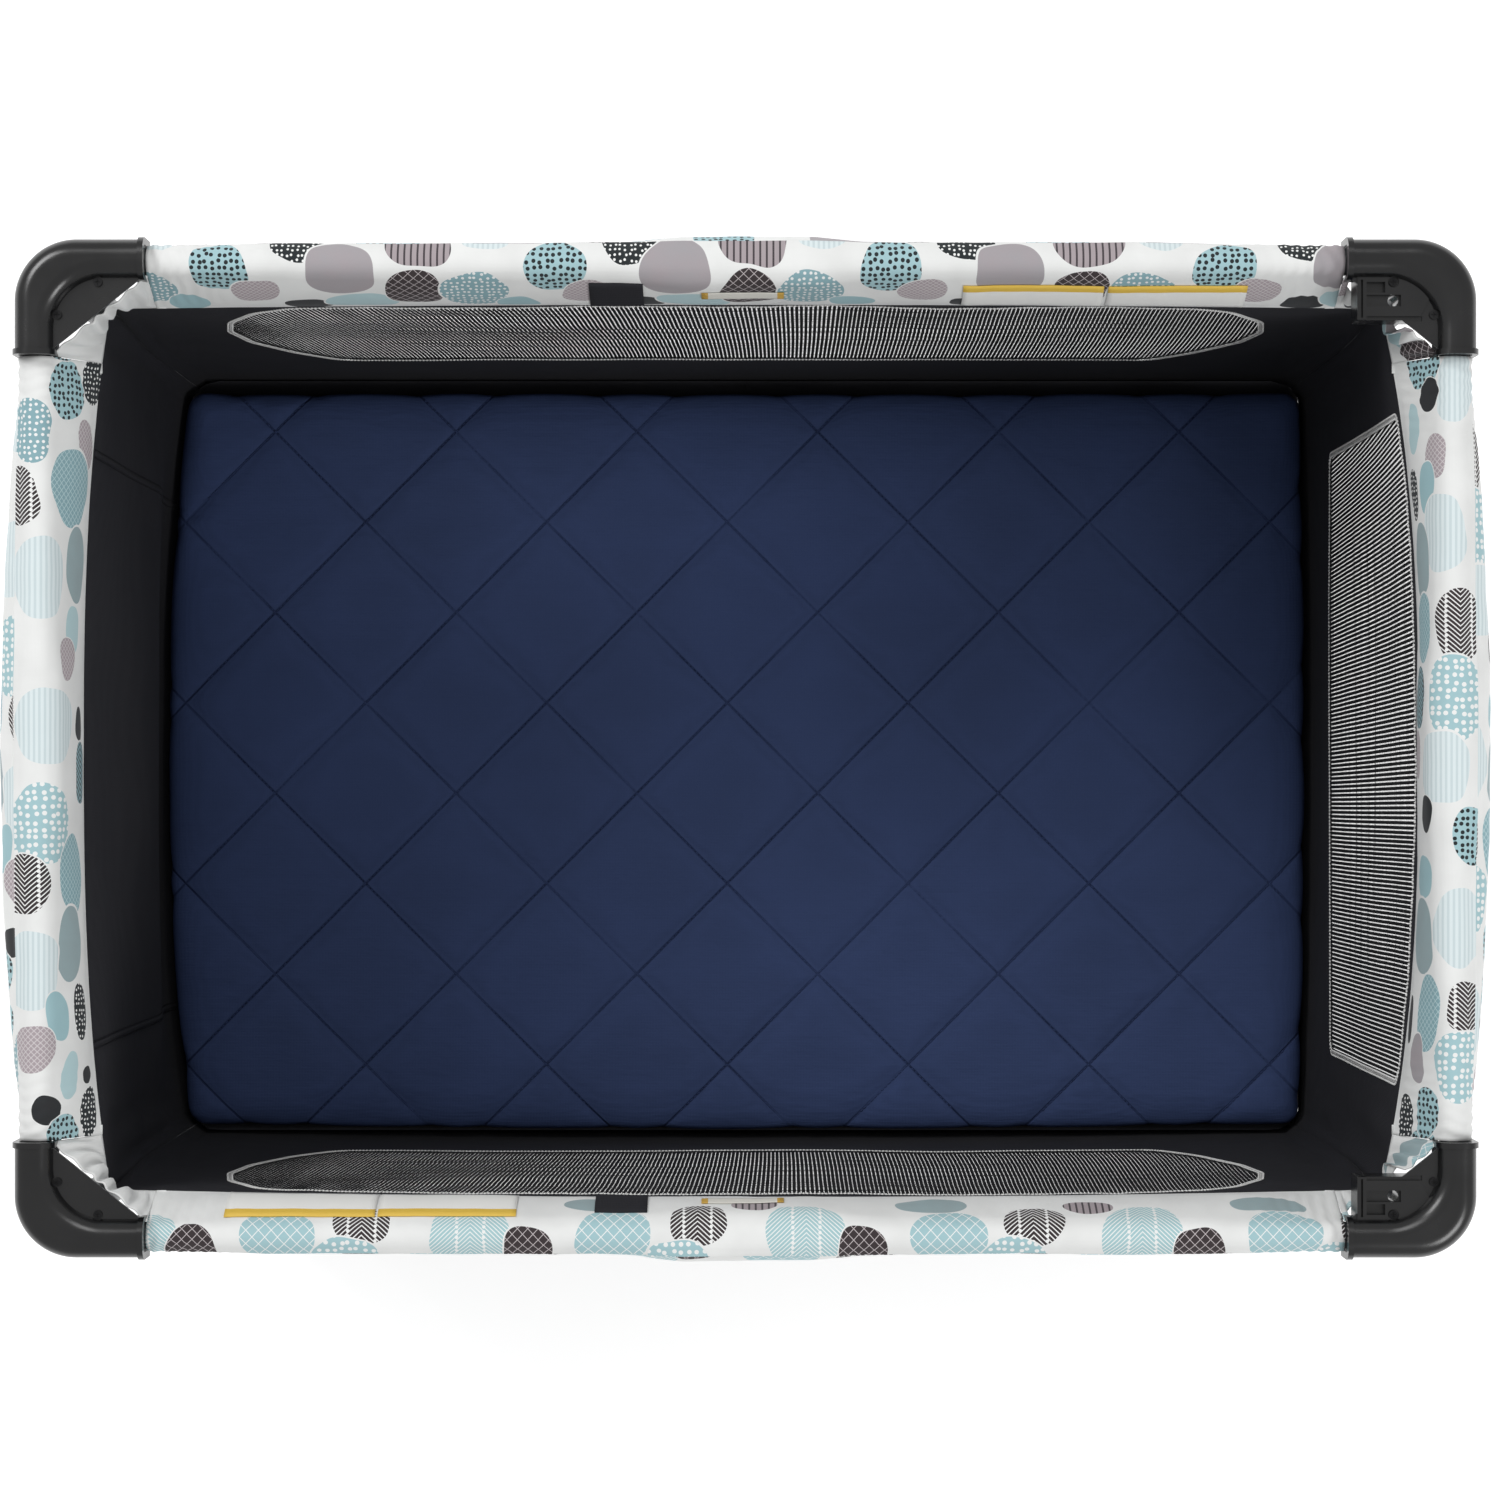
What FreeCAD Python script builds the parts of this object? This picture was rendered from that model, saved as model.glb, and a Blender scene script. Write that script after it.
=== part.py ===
"""Folding travel play yard: four legs with corner castings, rails that break at their middles, a floor
linkage that folds like an umbrella, mesh-sided fabric walls and a quilted mattress pad.

Frame: origin on the floor under the centre, +X along the long side, +Y to the back, +Z up, millimetres.
Each sub-part is one object of the document. Its sizes and place are bound to the sheet "dims", and
its Label names its file in parts/.
"""
import FreeCAD, Part
import math
import os
import re
import Sketcher

DIMENSIONS = {
    # legs and feet
    "leg_x": 485, "leg_y": 332, "leg_radius": 12.7, "leg_top": 716, "tube_wall": 1.2,
    "foot_radius": 18, "foot_height": 76, "foot_pad_radius": 20, "foot_pad_height": 8,
    "foot_reach": 36, "clevis_half_width": 14.5, "clevis_nose": 13, "clevis_top": 50,
    "slot_half_width": 10.2, "swing_room": 13.5,
    "pin_radius": 3, "bore_gap": 0.05,
    # wheels on the two left legs
    "wheel_x": 490, "wheel_radius": 22, "wheel_width": 12, "wheel_inner_y": 286, "wheel_height": 24,
    "axle_boss_radius": 7,
    # floor linkage
    "strut_height": 34, "strut_radius": 9.5, "tube_tail": 8,
    "reach_long": 415, "reach_short": 265,
    "floor_hub_half_x": 60, "floor_hub_half_y": 66, "floor_hub_low": 20, "floor_hub_top": 51,
    "support_foot_radius": 24, "strap_half_width": 12.5, "strap_thickness": 1.6,
    # top rails
    "rail_x": 496.5, "rail_y": 341.5, "rail_height": 706, "rail_radius": 9.5,
    "corner_pivot_x": 440, "corner_pivot_y": 290, "hub_pivot": 25,
    "rail_slot_half": 10.7, "rail_hub_half_width": 13.2, "rail_hub_low": 690, "rail_hub_top": 717,
    "hub_core_half": 12, "button_travel": 5, "button_low": 678,
    # corner castings
    "casting_x": 511, "casting_y": 356, "casting_width": 27, "casting_top": 728.5,
    "casting_height": 36, "crown_radius": 12, "outer_bend": 43.4, "inner_bend": 36,
    "mouth_x": 420, "mouth_y": 275, "lip_proud": 1.5, "lip_length": 4,
    "web_top": 717.5, "web_thickness": 3, "boss_radius": 16.5, "boss_low": 640,
    "screw_radius": 1.5, "screw_head_radius": 3.1, "recess_radius": 4, "screw_boss_radius": 4.5,
    # accessory sockets on the two right castings
    "socket_x_near": 427.5, "socket_x_far": 470, "socket_y_near": 299.5, "socket_y_far": 329.5,
    "socket_low": 690, "socket_top": 719, "socket_hole_x": 453, "socket_hole_y": 313,
    "socket_hole_radius": 3.8,
    # fabric
    "cover_half_width": 15.2, "cover_low": 672, "cover_top": 721, "cover_fabric": 1.2,
    "cover_end_gap": 0.5,
    "wall_x": 478, "wall_y": 324, "wall_chamfer": 19, "wall_thickness": 3, "wall_low": 56,
    "wall_top": 668, "seam_gap": 0.2, "net_thickness": 1,
    "long_window_low": 262, "long_window_top": 652, "long_window_bottom_half": 356,
    "long_window_widest_half": 384, "short_window_low": 270, "short_window_half": 243,
    "floor_low": 53, "floor_thickness": 2,
    # mattress pad
    "pad_length": 950, "pad_width": 640, "pad_low": 57.5, "pad_height": 46, "pad_corner": 30,
    "pad_edge": 6, "pad_cloth": 1.5, "board_thickness": 3, "board_gap": 6, "board_margin": 8,
}
BOARD_COUNT = 4
CORNERS = {
    "back_left": (-1, 1), "back_right": (1, 1), "front_left": (-1, -1), "front_right": (1, -1),
}
X_AXIS, Y_AXIS, Z_AXIS = FreeCAD.Vector(1, 0, 0), FreeCAD.Vector(0, 1, 0), FreeCAD.Vector(0, 0, 1)
DIMENSION_NAME = re.compile(r"\b(" + "|".join(DIMENSIONS) + r")\b")

# distances worked out from the driving dimensions
STRUT_LENGTH = "sqrt(reach_long * reach_long + reach_short * reach_short)"
FOOT_PIVOT_X = f"(leg_x - foot_reach * reach_long / {STRUT_LENGTH})"
FOOT_PIVOT_Y = f"(leg_y - foot_reach * reach_short / {STRUT_LENGTH})"
HUB_PIVOT_X = f"({FOOT_PIVOT_X} - reach_long)"
HUB_PIVOT_Y = f"({FOOT_PIVOT_Y} - reach_short)"

doc = FreeCAD.newDocument("play_yard")
nodes = []


def fill_sheet():
    """The driving dimensions, one row each: name, value, alias."""
    sheet = doc.addObject("Spreadsheet::Sheet", "dims")
    for row, (alias, value) in enumerate(DIMENSIONS.items(), start=1):
        sheet.set(f"A{row}", alias)
        sheet.set(f"B{row}", str(value))
        sheet.setAlias(f"B{row}", alias)
    doc.recompute()


def formula(text):
    """The expression with each dimension's name pointing at its cell."""
    return DIMENSION_NAME.sub(r"dims.\1", str(text))


def bind(obj, **formulas):
    for name, text in formulas.items():
        obj.setExpression(name, formula(text))
    return obj


def place(obj, x="0", y="0", z="0", turn=None):
    """Put the object's origin at (x, y, z); turn is an angle about +Z."""
    for axis, text in zip("xyz", (x, y, z)):
        obj.setExpression(f"Placement.Base.{axis}", formula(text))
    if turn is not None:
        obj.setExpression("Placement.Rotation.Angle", formula(turn))
    return obj


# ---- solids -------------------------------------------------------------------------------------
def box(name, x, y, z):
    """A block between the two expressions given for each axis."""
    solid = doc.addObject("Part::Box", name)
    for side, (low, high) in zip(("Length", "Width", "Height"), (x, y, z)):
        solid.setExpression(side, formula(f"({high}) - ({low})"))
    return place(solid, x[0], y[0], z[0])


def rod(name, radius, length, x="0", y="0", z="0", along=Z_AXIS):
    """A round bar that starts at (x, y, z) and runs along an axis."""
    solid = doc.addObject("Part::Cylinder", name)
    solid.Placement = FreeCAD.Placement(FreeCAD.Vector(), FreeCAD.Rotation(Z_AXIS, along))
    bind(solid, Radius=radius, Height=length)
    return place(solid, x, y, z)


def fuse(name, *solids):
    joined = doc.addObject("Part::MultiFuse", name)
    joined.Shapes = list(solids)
    joined.Refine = True
    return joined


def cut(name, base, *tools):
    result = doc.addObject("Part::Cut", name)
    result.Base = base
    result.Tool = tools[0] if len(tools) == 1 else fuse(name + "_tools", *tools)
    return result


def gather(name, *solids):
    """Identical or small pieces that share one node, each still its own solid."""
    pieces = doc.addObject("Part::Compound", name)
    pieces.Links = list(solids)
    return pieces


def mirror(name, solid, normal):
    image = doc.addObject("Part::Mirroring", name)
    image.Source = solid
    image.Normal = normal
    return image


def round_edges(name, solid, radius, chosen):
    """Part::Fillet on the edges that the test picks."""
    doc.recompute()
    picked = [i for i, edge in enumerate(solid.Shape.Edges, start=1) if chosen(edge)]
    size = float(radius)
    result = doc.addObject("Part::Fillet", name)
    result.Base = solid
    result.Edges = [(i, size, size) for i in picked]
    return result


def prism(name, outline, start, height, plane="XY_Plane", midplane=False):
    """A body padded from a closed polygon whose corners are bound to the sheet."""
    body = doc.addObject("PartDesign::Body", name)
    sketch = draw_outline(body, name + "_sketch", outline, plane)
    sketch.setExpression("AttachmentOffset.Base.z", formula(start))
    pad = body.newObject("PartDesign::Pad", name + "_pad")
    pad.Profile = sketch
    pad.Midplane = midplane
    return body, bind(pad, Length=height)


def draw_outline(body, name, outline, plane):
    """A sketch of straight lines on one of the body's own planes, each corner held in both directions."""
    sketch = body.newObject("Sketcher::SketchObject", name)
    origin_plane = next(f for f in body.Origin.OriginFeatures if f.Role == plane)
    sketch.AttachmentSupport = [(origin_plane, "")]
    sketch.MapMode = "FlatFace"
    count = len(outline)
    turns = [2 * math.pi * (i + 0.37) / count for i in range(count)]
    ring = [FreeCAD.Vector(50 * math.cos(turn), 50 * math.sin(turn), 0) for turn in turns]
    for i in range(count):
        sketch.addGeometry(Part.LineSegment(ring[i], ring[(i + 1) % count]))
    for i in range(count):
        sketch.addConstraint(Sketcher.Constraint("Coincident", i, 2, (i + 1) % count, 1))
    for i, corner in enumerate(outline):
        for kind, start, text in zip(("DistanceX", "DistanceY"), ring[i][:2], corner):
            number = sketch.addConstraint(Sketcher.Constraint(kind, -1, 1, i, 1, start))
            sketch.setExpression(f"Constraints[{number}]", formula(text))
    return sketch


def fillet_body(body, name, radius, chosen):
    """PartDesign fillet on the tip's edges that the test picks."""
    doc.recompute()
    base = body.Tip
    picked = [f"Edge{i}" for i, edge in enumerate(base.Shape.Edges, start=1) if chosen(edge)]
    fillet = body.newObject("PartDesign::Fillet", name)
    fillet.Base = (base, picked)
    bind(fillet, Radius=radius)
    doc.recompute()
    return body


def is_upright(edge):
    box_of = edge.BoundBox
    return box_of.XLength < 1e-6 and box_of.YLength < 1e-6


def lies_at(height):
    """Tests whether an edge is level and at the height."""
    return lambda edge: abs(edge.BoundBox.ZMin - height) < 1e-4 and abs(edge.BoundBox.ZMax - height) < 1e-4


def node(solid, name):
    solid.Label = name
    nodes.append(solid)
    return solid


# ---- corner castings ----------------------------------------------------------------------------
def casting_ridge():
    """The rounded L of the casting: two arms that meet in a wide bend over the leg."""
    inner_x, inner_y = "(casting_x - casting_width)", "(casting_y - casting_width)"
    outline = [
        ("mouth_x", "casting_y"), ("casting_x", "casting_y"), ("casting_x", "mouth_y"),
        (inner_x, "mouth_y"), (inner_x, inner_y), ("mouth_x", inner_y),
    ]
    body, _ = prism("ridge", outline, "casting_top - casting_height", "casting_height")
    dims = doc.getObject("dims")

    def upright_at(x, y):
        return lambda edge: is_upright(edge) and edge.CenterOfMass.distanceToPoint(
            FreeCAD.Vector(x, y, edge.CenterOfMass.z)) < 1e-3

    width = dims.casting_width
    fillet_body(body, "ridge_outer_bend", "outer_bend", upright_at(dims.casting_x, dims.casting_y))
    fillet_body(body, "ridge_inner_bend", "inner_bend",
                upright_at(dims.casting_x - width, dims.casting_y - width))

    def along_crown(edge):
        middle = edge.CenterOfMass
        in_arms = middle.x > dims.mouth_x + 1e-3 and middle.y > dims.mouth_y + 1e-3
        return lies_at(dims.casting_top)(edge) and in_arms

    return fillet_body(body, "ridge_crown", "crown_radius", along_crown)


def casting_lip(name, x, y):
    """The raised collar round one arm's mouth."""
    lip = box(name, x, y, ("casting_top - casting_height", "casting_top + lip_proud"))
    top = DIMENSIONS["casting_top"] + DIMENSIONS["lip_proud"]
    runs_x = name.endswith("x_arm")
    radius = DIMENSIONS["crown_radius"] + DIMENSIONS["lip_proud"] - 0.3

    def long_top_edge(edge):
        length = edge.BoundBox.XLength if runs_x else edge.BoundBox.YLength
        return lies_at(top)(edge) and abs(length - DIMENSIONS["lip_length"]) < 1e-3

    return round_edges(name + "_rounded", lip, radius, long_top_edge)


def accessory_socket():
    """The open receptacle inside the right castings: its block, and the recesses to cut from above."""
    outline = [
        ("socket_x_near", "socket_y_near"), ("socket_x_far", "socket_y_near"),
        ("socket_x_far + 8", "socket_y_near + 15"), ("socket_x_far", "socket_y_far"),
        ("socket_x_near", "socket_y_far"),
    ]
    block, _ = prism("socket_block", outline, "socket_low", "socket_top - socket_low")
    inside, sky = "socket_x_near + 6.5", "socket_top + 20"
    recesses = [
        box("socket_upper_recess", (inside, "socket_x_near + 19.5"),
            ("socket_y_far - 11", "socket_y_far - 3.5"), ("socket_top - 6", sky)),
        box("socket_trough", (inside, "socket_x_far - 12"),
            ("socket_hole_y - 4", "socket_hole_y + 4"), ("socket_top - 4", sky)),
        box("socket_plate_groove", ("socket_x_near + 2.5", "socket_x_near + 4"),
            ("socket_y_near + 1.5", "socket_y_far - 2"), ("socket_top - 5", sky)),
        box("socket_step", (inside, "socket_x_far + 3"),
            ("socket_y_near - 1", "socket_y_near + 2.5"), ("socket_top - 3", sky)),
        rod("socket_bore", "socket_hole_radius", "60", "socket_hole_x", "socket_hole_y",
            "socket_low - 5"),
    ]
    return block, recesses


def corner_casting(name, with_socket):
    """One casting at the back right corner; the other corners are its mirror images."""
    ridge = casting_ridge() if not doc.getObject("ridge") else doc.getObject("ridge")
    if not doc.getObject("leg_boss"):
        rod("leg_boss", "boss_radius", "leg_top - boss_low", "leg_x", "leg_y", "boss_low")
        casting_lip("lip_of_x_arm", ("mouth_x", "mouth_x + lip_length"),
                    ("casting_y - casting_width - lip_proud", "casting_y + lip_proud"))
        casting_lip("lip_of_y_arm", ("casting_x - casting_width - lip_proud", "casting_x + lip_proud"),
                    ("mouth_y", "mouth_y + lip_length"))
        web_corner_x, web_corner_y = "casting_x - casting_width + 1", "casting_y - casting_width + 1"
        web_outline = [("mouth_x + 1.5", web_corner_y), (web_corner_x, "mouth_y + 4"),
                       (web_corner_x, web_corner_y)]
        prism("web", web_outline, "web_top - web_thickness", "web_thickness")
    parts = [ridge] + [doc.getObject(n) for n in (
        "leg_boss", "lip_of_x_arm_rounded", "lip_of_y_arm_rounded", "web")]
    recesses = []
    for i, (x, y) in enumerate(WEB_SCREWS):
        boss = rod(f"{name}_screw_boss_{i}", "screw_boss_radius", "web_top - 700", x, y, "700")
        parts.append(boss)
        recesses.append(rod(f"{name}_recess_{i}", "recess_radius", "20", x, y, "web_top"))
        recesses.append(rod(f"{name}_screw_bore_{i}", "screw_radius + bore_gap", "40", x, y, "699"))
    if with_socket:
        block, socket_recesses = accessory_socket()
        parts.append(block)
        recesses += socket_recesses
    low, ceiling = "casting_top - casting_height - 5", "rail_height + swing_room"
    long_slot = box(name + "_long_slot", ("mouth_x - 5", "corner_pivot_x + swing_room"),
                    ("rail_y - rail_slot_half", "rail_y + rail_slot_half"), (low, ceiling))
    short_slot = box(name + "_short_slot", ("rail_x - rail_slot_half", "rail_x + rail_slot_half"),
                     ("mouth_y - 5", "corner_pivot_y + swing_room"), (low, ceiling))
    leg_bore = rod(name + "_leg_bore", "leg_radius + bore_gap", "leg_top - boss_low + 1",
                   "leg_x", "leg_y", "boss_low - 1")
    pin_bore = "pin_radius + bore_gap / 2"
    long_pin = rod(name + "_long_pin_bore", pin_bore, "casting_width - 2", "corner_pivot_x",
                   "casting_y - casting_width + 1", "rail_height", Y_AXIS)
    short_pin = rod(name + "_short_pin_bore", pin_bore, "casting_width - 2",
                    "casting_x - casting_width + 1", "corner_pivot_y", "rail_height", X_AXIS)
    return cut(name, fuse(name + "_solid", *parts), long_slot, short_slot, leg_bore, long_pin,
               short_pin, *recesses)


WEB_SCREWS = [("452.7", "325.9"), ("481.0", "303.1")]


def make_castings():
    right = corner_casting("casting_with_socket", True)
    left = corner_casting("casting_plain", False)
    left_image = mirror("casting_back_left", left, X_AXIS)
    node(right, "corner_bracket_back_right")
    node(mirror("casting_front_right", right, Y_AXIS), "corner_bracket_front_right")
    node(left_image, "corner_bracket_back_left")
    node(mirror("casting_front_left", left_image, Y_AXIS), "corner_bracket_front_left")


# ---- legs, feet and their fasteners ---------------------------------------------------------------
def tube(name, radius, length, x="0", y="0", z="0", along=Z_AXIS):
    outside = rod(name + "_outside", radius, length, x, y, z, along)
    inside = rod(name + "_inside", f"{radius} - tube_wall", length, x, y, z, along)
    return cut(name, outside, inside)


def make_leg(corner, sx, sy):
    leg = tube(f"leg_{corner}", "leg_radius", "leg_top - foot_pad_height - 2",
               f"{sx} * leg_x", f"{sy} * leg_y", "foot_pad_height + 2")
    node(leg, f"leg_tube_{corner}")


def toward_centre(sx, sy):
    """The plan angle of the strut that leaves this corner's foot."""
    return f"atan2({-sy} * reach_short; {-sx} * reach_long)"


def make_foot(corner, sx, sy):
    """A floor pad and socket round the leg's end, with a clevis for the strut; left feet hold an axle."""
    x, y = f"{sx} * leg_x", f"{sy} * leg_y"
    socket = rod(f"foot_socket_{corner}", "foot_radius", "foot_height", x, y)
    pad = rod(f"foot_pad_{corner}", "foot_pad_radius", "foot_pad_height", x, y)
    nose = "foot_reach + clevis_nose"
    outline = [("0", "-1 * clevis_half_width"), (nose, "-1 * clevis_half_width"),
               (nose, "clevis_half_width"), ("0", "clevis_half_width")]
    clevis, _ = prism(f"clevis_{corner}", outline, "foot_pad_height", "clevis_top - foot_pad_height")
    nose_x = DIMENSIONS["foot_reach"] + DIMENSIONS["clevis_nose"]
    fillet_body(clevis, f"clevis_nose_{corner}", "foot_pad_height / 2",
                lambda edge: is_upright(edge) and edge.CenterOfMass.x > nose_x - 1e-3)
    solids = [socket, pad, place(clevis, x, y, "0", toward_centre(sx, sy))]
    tools = [rod(f"foot_bore_{corner}", "leg_radius + bore_gap", "foot_height", x, y,
                 "foot_pad_height + 2")]
    if sx < 0:
        solids.append(rod(f"axle_boss_{corner}", "axle_boss_radius",
                          "leg_y - 8 - wheel_inner_y - wheel_width - 1", f"{sx} * wheel_x",
                          f"{sy} * (wheel_inner_y + wheel_width + 1)", "wheel_height",
                          Y_AXIS * sy))
        tools.append(rod(f"axle_bore_{corner}", "pin_radius + bore_gap / 2", "20",
                         f"{sx} * wheel_x", f"{sy} * (wheel_inner_y + wheel_width - 1)",
                         "wheel_height", Y_AXIS * sy))
    slot = box(f"foot_slot_local_{corner}", ("foot_reach - swing_room", "foot_reach + 40"),
               ("-1 * slot_half_width", "slot_half_width"), ("strut_height - swing_room", "90"))
    bore = rod(f"foot_pin_bore_local_{corner}", "pin_radius + bore_gap / 2", "60", "foot_reach",
               "-30", "strut_height", Y_AXIS)
    opening = place(fuse(f"foot_opening_{corner}", slot, bore), x, y, "0", toward_centre(sx, sy))
    node(cut(f"foot_{corner}", fuse(f"foot_solid_{corner}", *solids), opening, *tools),
         f"leg_foot_{corner}")


def make_leg_fasteners(corner, sx, sy):
    """The rail pins, the strut's pin, the two web screws and, on the left, the wheel's axle and cap."""
    pieces = [
        rod(f"long_rail_pin_{corner}", "pin_radius", "casting_width - 3",
            f"{sx} * corner_pivot_x", f"{sy} * (casting_y - casting_width + 1.5)", "rail_height",
            Y_AXIS * sy),
        rod(f"short_rail_pin_{corner}", "pin_radius", "casting_width - 3",
            f"{sx} * (casting_x - casting_width + 1.5)", f"{sy} * corner_pivot_y", "rail_height",
            X_AXIS * sx),
    ]
    pin = rod(f"strut_pin_local_{corner}", "pin_radius", "2 * clevis_half_width", "foot_reach",
              "-1 * clevis_half_width", "strut_height", Y_AXIS)
    pieces.append(place(gather(f"strut_pin_{corner}", pin), f"{sx} * leg_x", f"{sy} * leg_y", "0",
                        toward_centre(sx, sy)))
    for i, (x, y) in enumerate(WEB_SCREWS):
        x, y = f"{sx} * {x}", f"{sy} * {y}"
        shank = rod(f"web_screw_shank_{corner}_{i}", "screw_radius", "14", x, y, "web_top - 14")
        head = rod(f"web_screw_head_{corner}_{i}", "screw_head_radius", "1.8", x, y, "web_top")
        cross = fuse(f"web_screw_cross_{corner}_{i}",
                     box(f"cross_a_{corner}_{i}", (f"{x} - 1.9", f"{x} + 1.9"),
                         (f"{y} - 0.35", f"{y} + 0.35"), ("web_top + 0.8", "web_top + 3")),
                     box(f"cross_b_{corner}_{i}", (f"{x} - 0.35", f"{x} + 0.35"),
                         (f"{y} - 1.9", f"{y} + 1.9"), ("web_top + 0.8", "web_top + 3")))
        pieces.append(cut(f"web_screw_{corner}_{i}", fuse(f"web_screw_blank_{corner}_{i}", shank, head),
                          cross))
    if sx < 0:
        cap_y, run = "wheel_inner_y - 2.5", "wheel_width + 2.5"
        axle = rod(f"axle_shaft_{corner}", "pin_radius", f"{run} + 15", f"{sx} * wheel_x",
                   f"{sy} * ({cap_y})", "wheel_height", Y_AXIS * sy)
        cap = rod(f"axle_cap_{corner}", "pin_radius + 3", "2", f"{sx} * wheel_x",
                  f"{sy} * ({cap_y})", "wheel_height", Y_AXIS * sy)
        pieces.append(fuse(f"axle_{corner}", axle, cap))
    node(gather(f"fasteners_{corner}", *pieces), f"leg_fasteners_{corner}")


def make_wheel(corner, sy):
    """A spoked-face roller: bore, hub, recessed disc and tread, turned about its axle."""
    body = doc.addObject("PartDesign::Body", f"wheel_{corner}")
    half, bore, rim = "wheel_width / 2", "pin_radius + bore_gap", "wheel_radius"
    half_profile = [(bore, half), (f"{bore} + 4", half), (f"{bore} + 4", f"{half} - 2.5"),
                    (f"{rim} - 5", f"{half} - 2.5"), (f"{rim} - 5", half), (f"{rim} - 1.5", half),
                    (rim, f"{half} - 1.5")]
    other_half = [(r, f"-1 * ({depth})") for r, depth in reversed(half_profile)]
    sketch = draw_outline(body, f"wheel_profile_{corner}", half_profile + other_half, "XY_Plane")
    turned = body.newObject("PartDesign::Revolution", f"wheel_turned_{corner}")
    turned.Profile = sketch
    turned.ReferenceAxis = (sketch, ["V_Axis"])
    turned.Angle = 360
    place(body, "-1 * wheel_x", f"{sy} * (wheel_inner_y + wheel_width / 2)", "wheel_height")
    node(body, f"wheel_{corner}")


# ---- floor linkage --------------------------------------------------------------------------------
def make_strut(corner, sx, sy):
    """A tube from the foot's pin to the floor hub's pin."""
    length = f"{STRUT_LENGTH} + 2 * tube_tail"
    blank = tube(f"strut_tube_{corner}", "strut_radius", length, "-1 * tube_tail", "0", "0", X_AXIS)
    bores = [rod(f"strut_bore_{corner}_{i}", "pin_radius + bore_gap", "40", x, "-20", "0", Y_AXIS)
             for i, x in enumerate(("0", STRUT_LENGTH))]
    strut = cut(f"strut_{corner}", blank, *bores)
    place(strut, f"{sx} * {FOOT_PIVOT_X}", f"{sy} * {FOOT_PIVOT_Y}", "strut_height",
          toward_centre(sx, sy))
    node(strut, f"floor_strut_{corner}")


def make_floor_hub():
    """The hub that the four struts meet in, its pins and its pull strap."""
    wide, deep, nip = "floor_hub_half_x", "floor_hub_half_y", "14"
    outline = []
    for sx, sy in ((1, -1), (1, 1), (-1, 1), (-1, -1)):
        near_side = (f"{sx} * {wide}", f"{sy} * ({deep} - {nip})")
        near_end = (f"{sx} * ({wide} - {nip})", f"{sy} * {deep}")
        outline += [near_side, near_end] if sx * sy > 0 else [near_end, near_side]
    body, _ = prism("hub_block", outline, "floor_hub_low", "floor_hub_top - floor_hub_low")
    fillet_body(body, "hub_block_rim", "3", lies_at(DIMENSIONS["floor_hub_top"]))
    foot = rod("hub_support_foot", "support_foot_radius", "floor_hub_low + 1")
    tools, pins = [], []
    for corner, (sx, sy) in CORNERS.items():
        spot = (f"{sx} * {HUB_PIVOT_X}", f"{sy} * {HUB_PIVOT_Y}", "0",
                f"atan2({sy} * reach_short; {sx} * reach_long)")
        slot = box(f"hub_slot_local_{corner}", ("-1 * swing_room", "60"),
                   ("-1 * slot_half_width", "slot_half_width"),
                   ("floor_hub_low - 10", "strut_height + swing_room"))
        bore = rod(f"hub_bore_local_{corner}", "pin_radius + bore_gap / 2", "2 * clevis_half_width",
                   "0", "-1 * clevis_half_width", "strut_height", Y_AXIS)
        tools.append(place(fuse(f"hub_opening_{corner}", slot, bore), *spot))
        pin = rod(f"hub_pin_local_{corner}", "pin_radius", "2 * clevis_half_width - 1", "0",
                  "0.5 - clevis_half_width", "strut_height", Y_AXIS)
        pins.append(place(gather(f"hub_pin_{corner}", pin), *spot))
    half = "strap_half_width"
    tools.append(box("hub_strap_slot", (f"-1 * {half} - 0.2", f"{half} + 0.2"),
                     ("-0.2", "strap_thickness + 0.2"), ("floor_hub_top - 9", "floor_hub_top + 1")))
    node(cut("floor_hub", fuse("floor_hub_solid", body, foot), *tools), "floor_hub")
    node(gather("floor_hub_pins", *pins), "floor_hub_rivets")
    above = "floor_low + floor_thickness + 0.2"
    upright = box("strap_upright", (f"-1 * {half}", half), ("0", "strap_thickness"),
                  ("floor_hub_top - 8.5", f"{above} + strap_thickness"))
    tail = box("strap_tail", (f"-1 * {half}", half), ("0", "70"), (above, f"{above} + strap_thickness"))
    node(fuse("pull_strap", upright, tail), "floor_hub_strap")


# ---- top rails --------------------------------------------------------------------------------------
RAILS = {
    # side: (runs along X, sign of its plane, names of its negative and positive halves)
    "back": (True, 1, ("left", "right")), "front": (True, -1, ("left", "right")),
    "left": (False, -1, ("front", "back")), "right": (False, 1, ("front", "back")),
}


def rail_spot(along_x, sign):
    """Where a rail's middle is, and its turn, for pieces drawn along +X."""
    if along_x:
        return "0", f"{sign} * rail_y", "rail_height", "0"
    return f"{sign} * rail_x", "0", "rail_height", "90"


def make_rail(side, along_x, sign, ends):
    """Two tubes, the folding hub between them with its latch and button, drawn along +X and turned."""
    spot = rail_spot(along_x, sign)
    pivot = "corner_pivot_x" if along_x else "corner_pivot_y"
    for way, end in zip((-1, 1), ends):
        name = f"{side}_{end}"
        start = "hub_pivot - tube_tail"
        blank = tube(f"rail_blank_{name}", "rail_radius", f"{pivot} - hub_pivot + 2 * tube_tail",
                     f"{way} * ({start})", "0", "0", X_AXIS * way)
        bores = [rod(f"rail_bore_{name}_{i}", "pin_radius + bore_gap", "40", f"{way} * {x}", "-20",
                     "0", Y_AXIS) for i, x in enumerate(("hub_pivot", pivot))]
        node(place(cut(f"rail_{name}", blank, *bores), *spot), f"rail_tube_{name}")
    make_rail_hub(side, spot)
    make_rail_cover(side, spot, "mouth_x" if along_x else "mouth_y")


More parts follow.
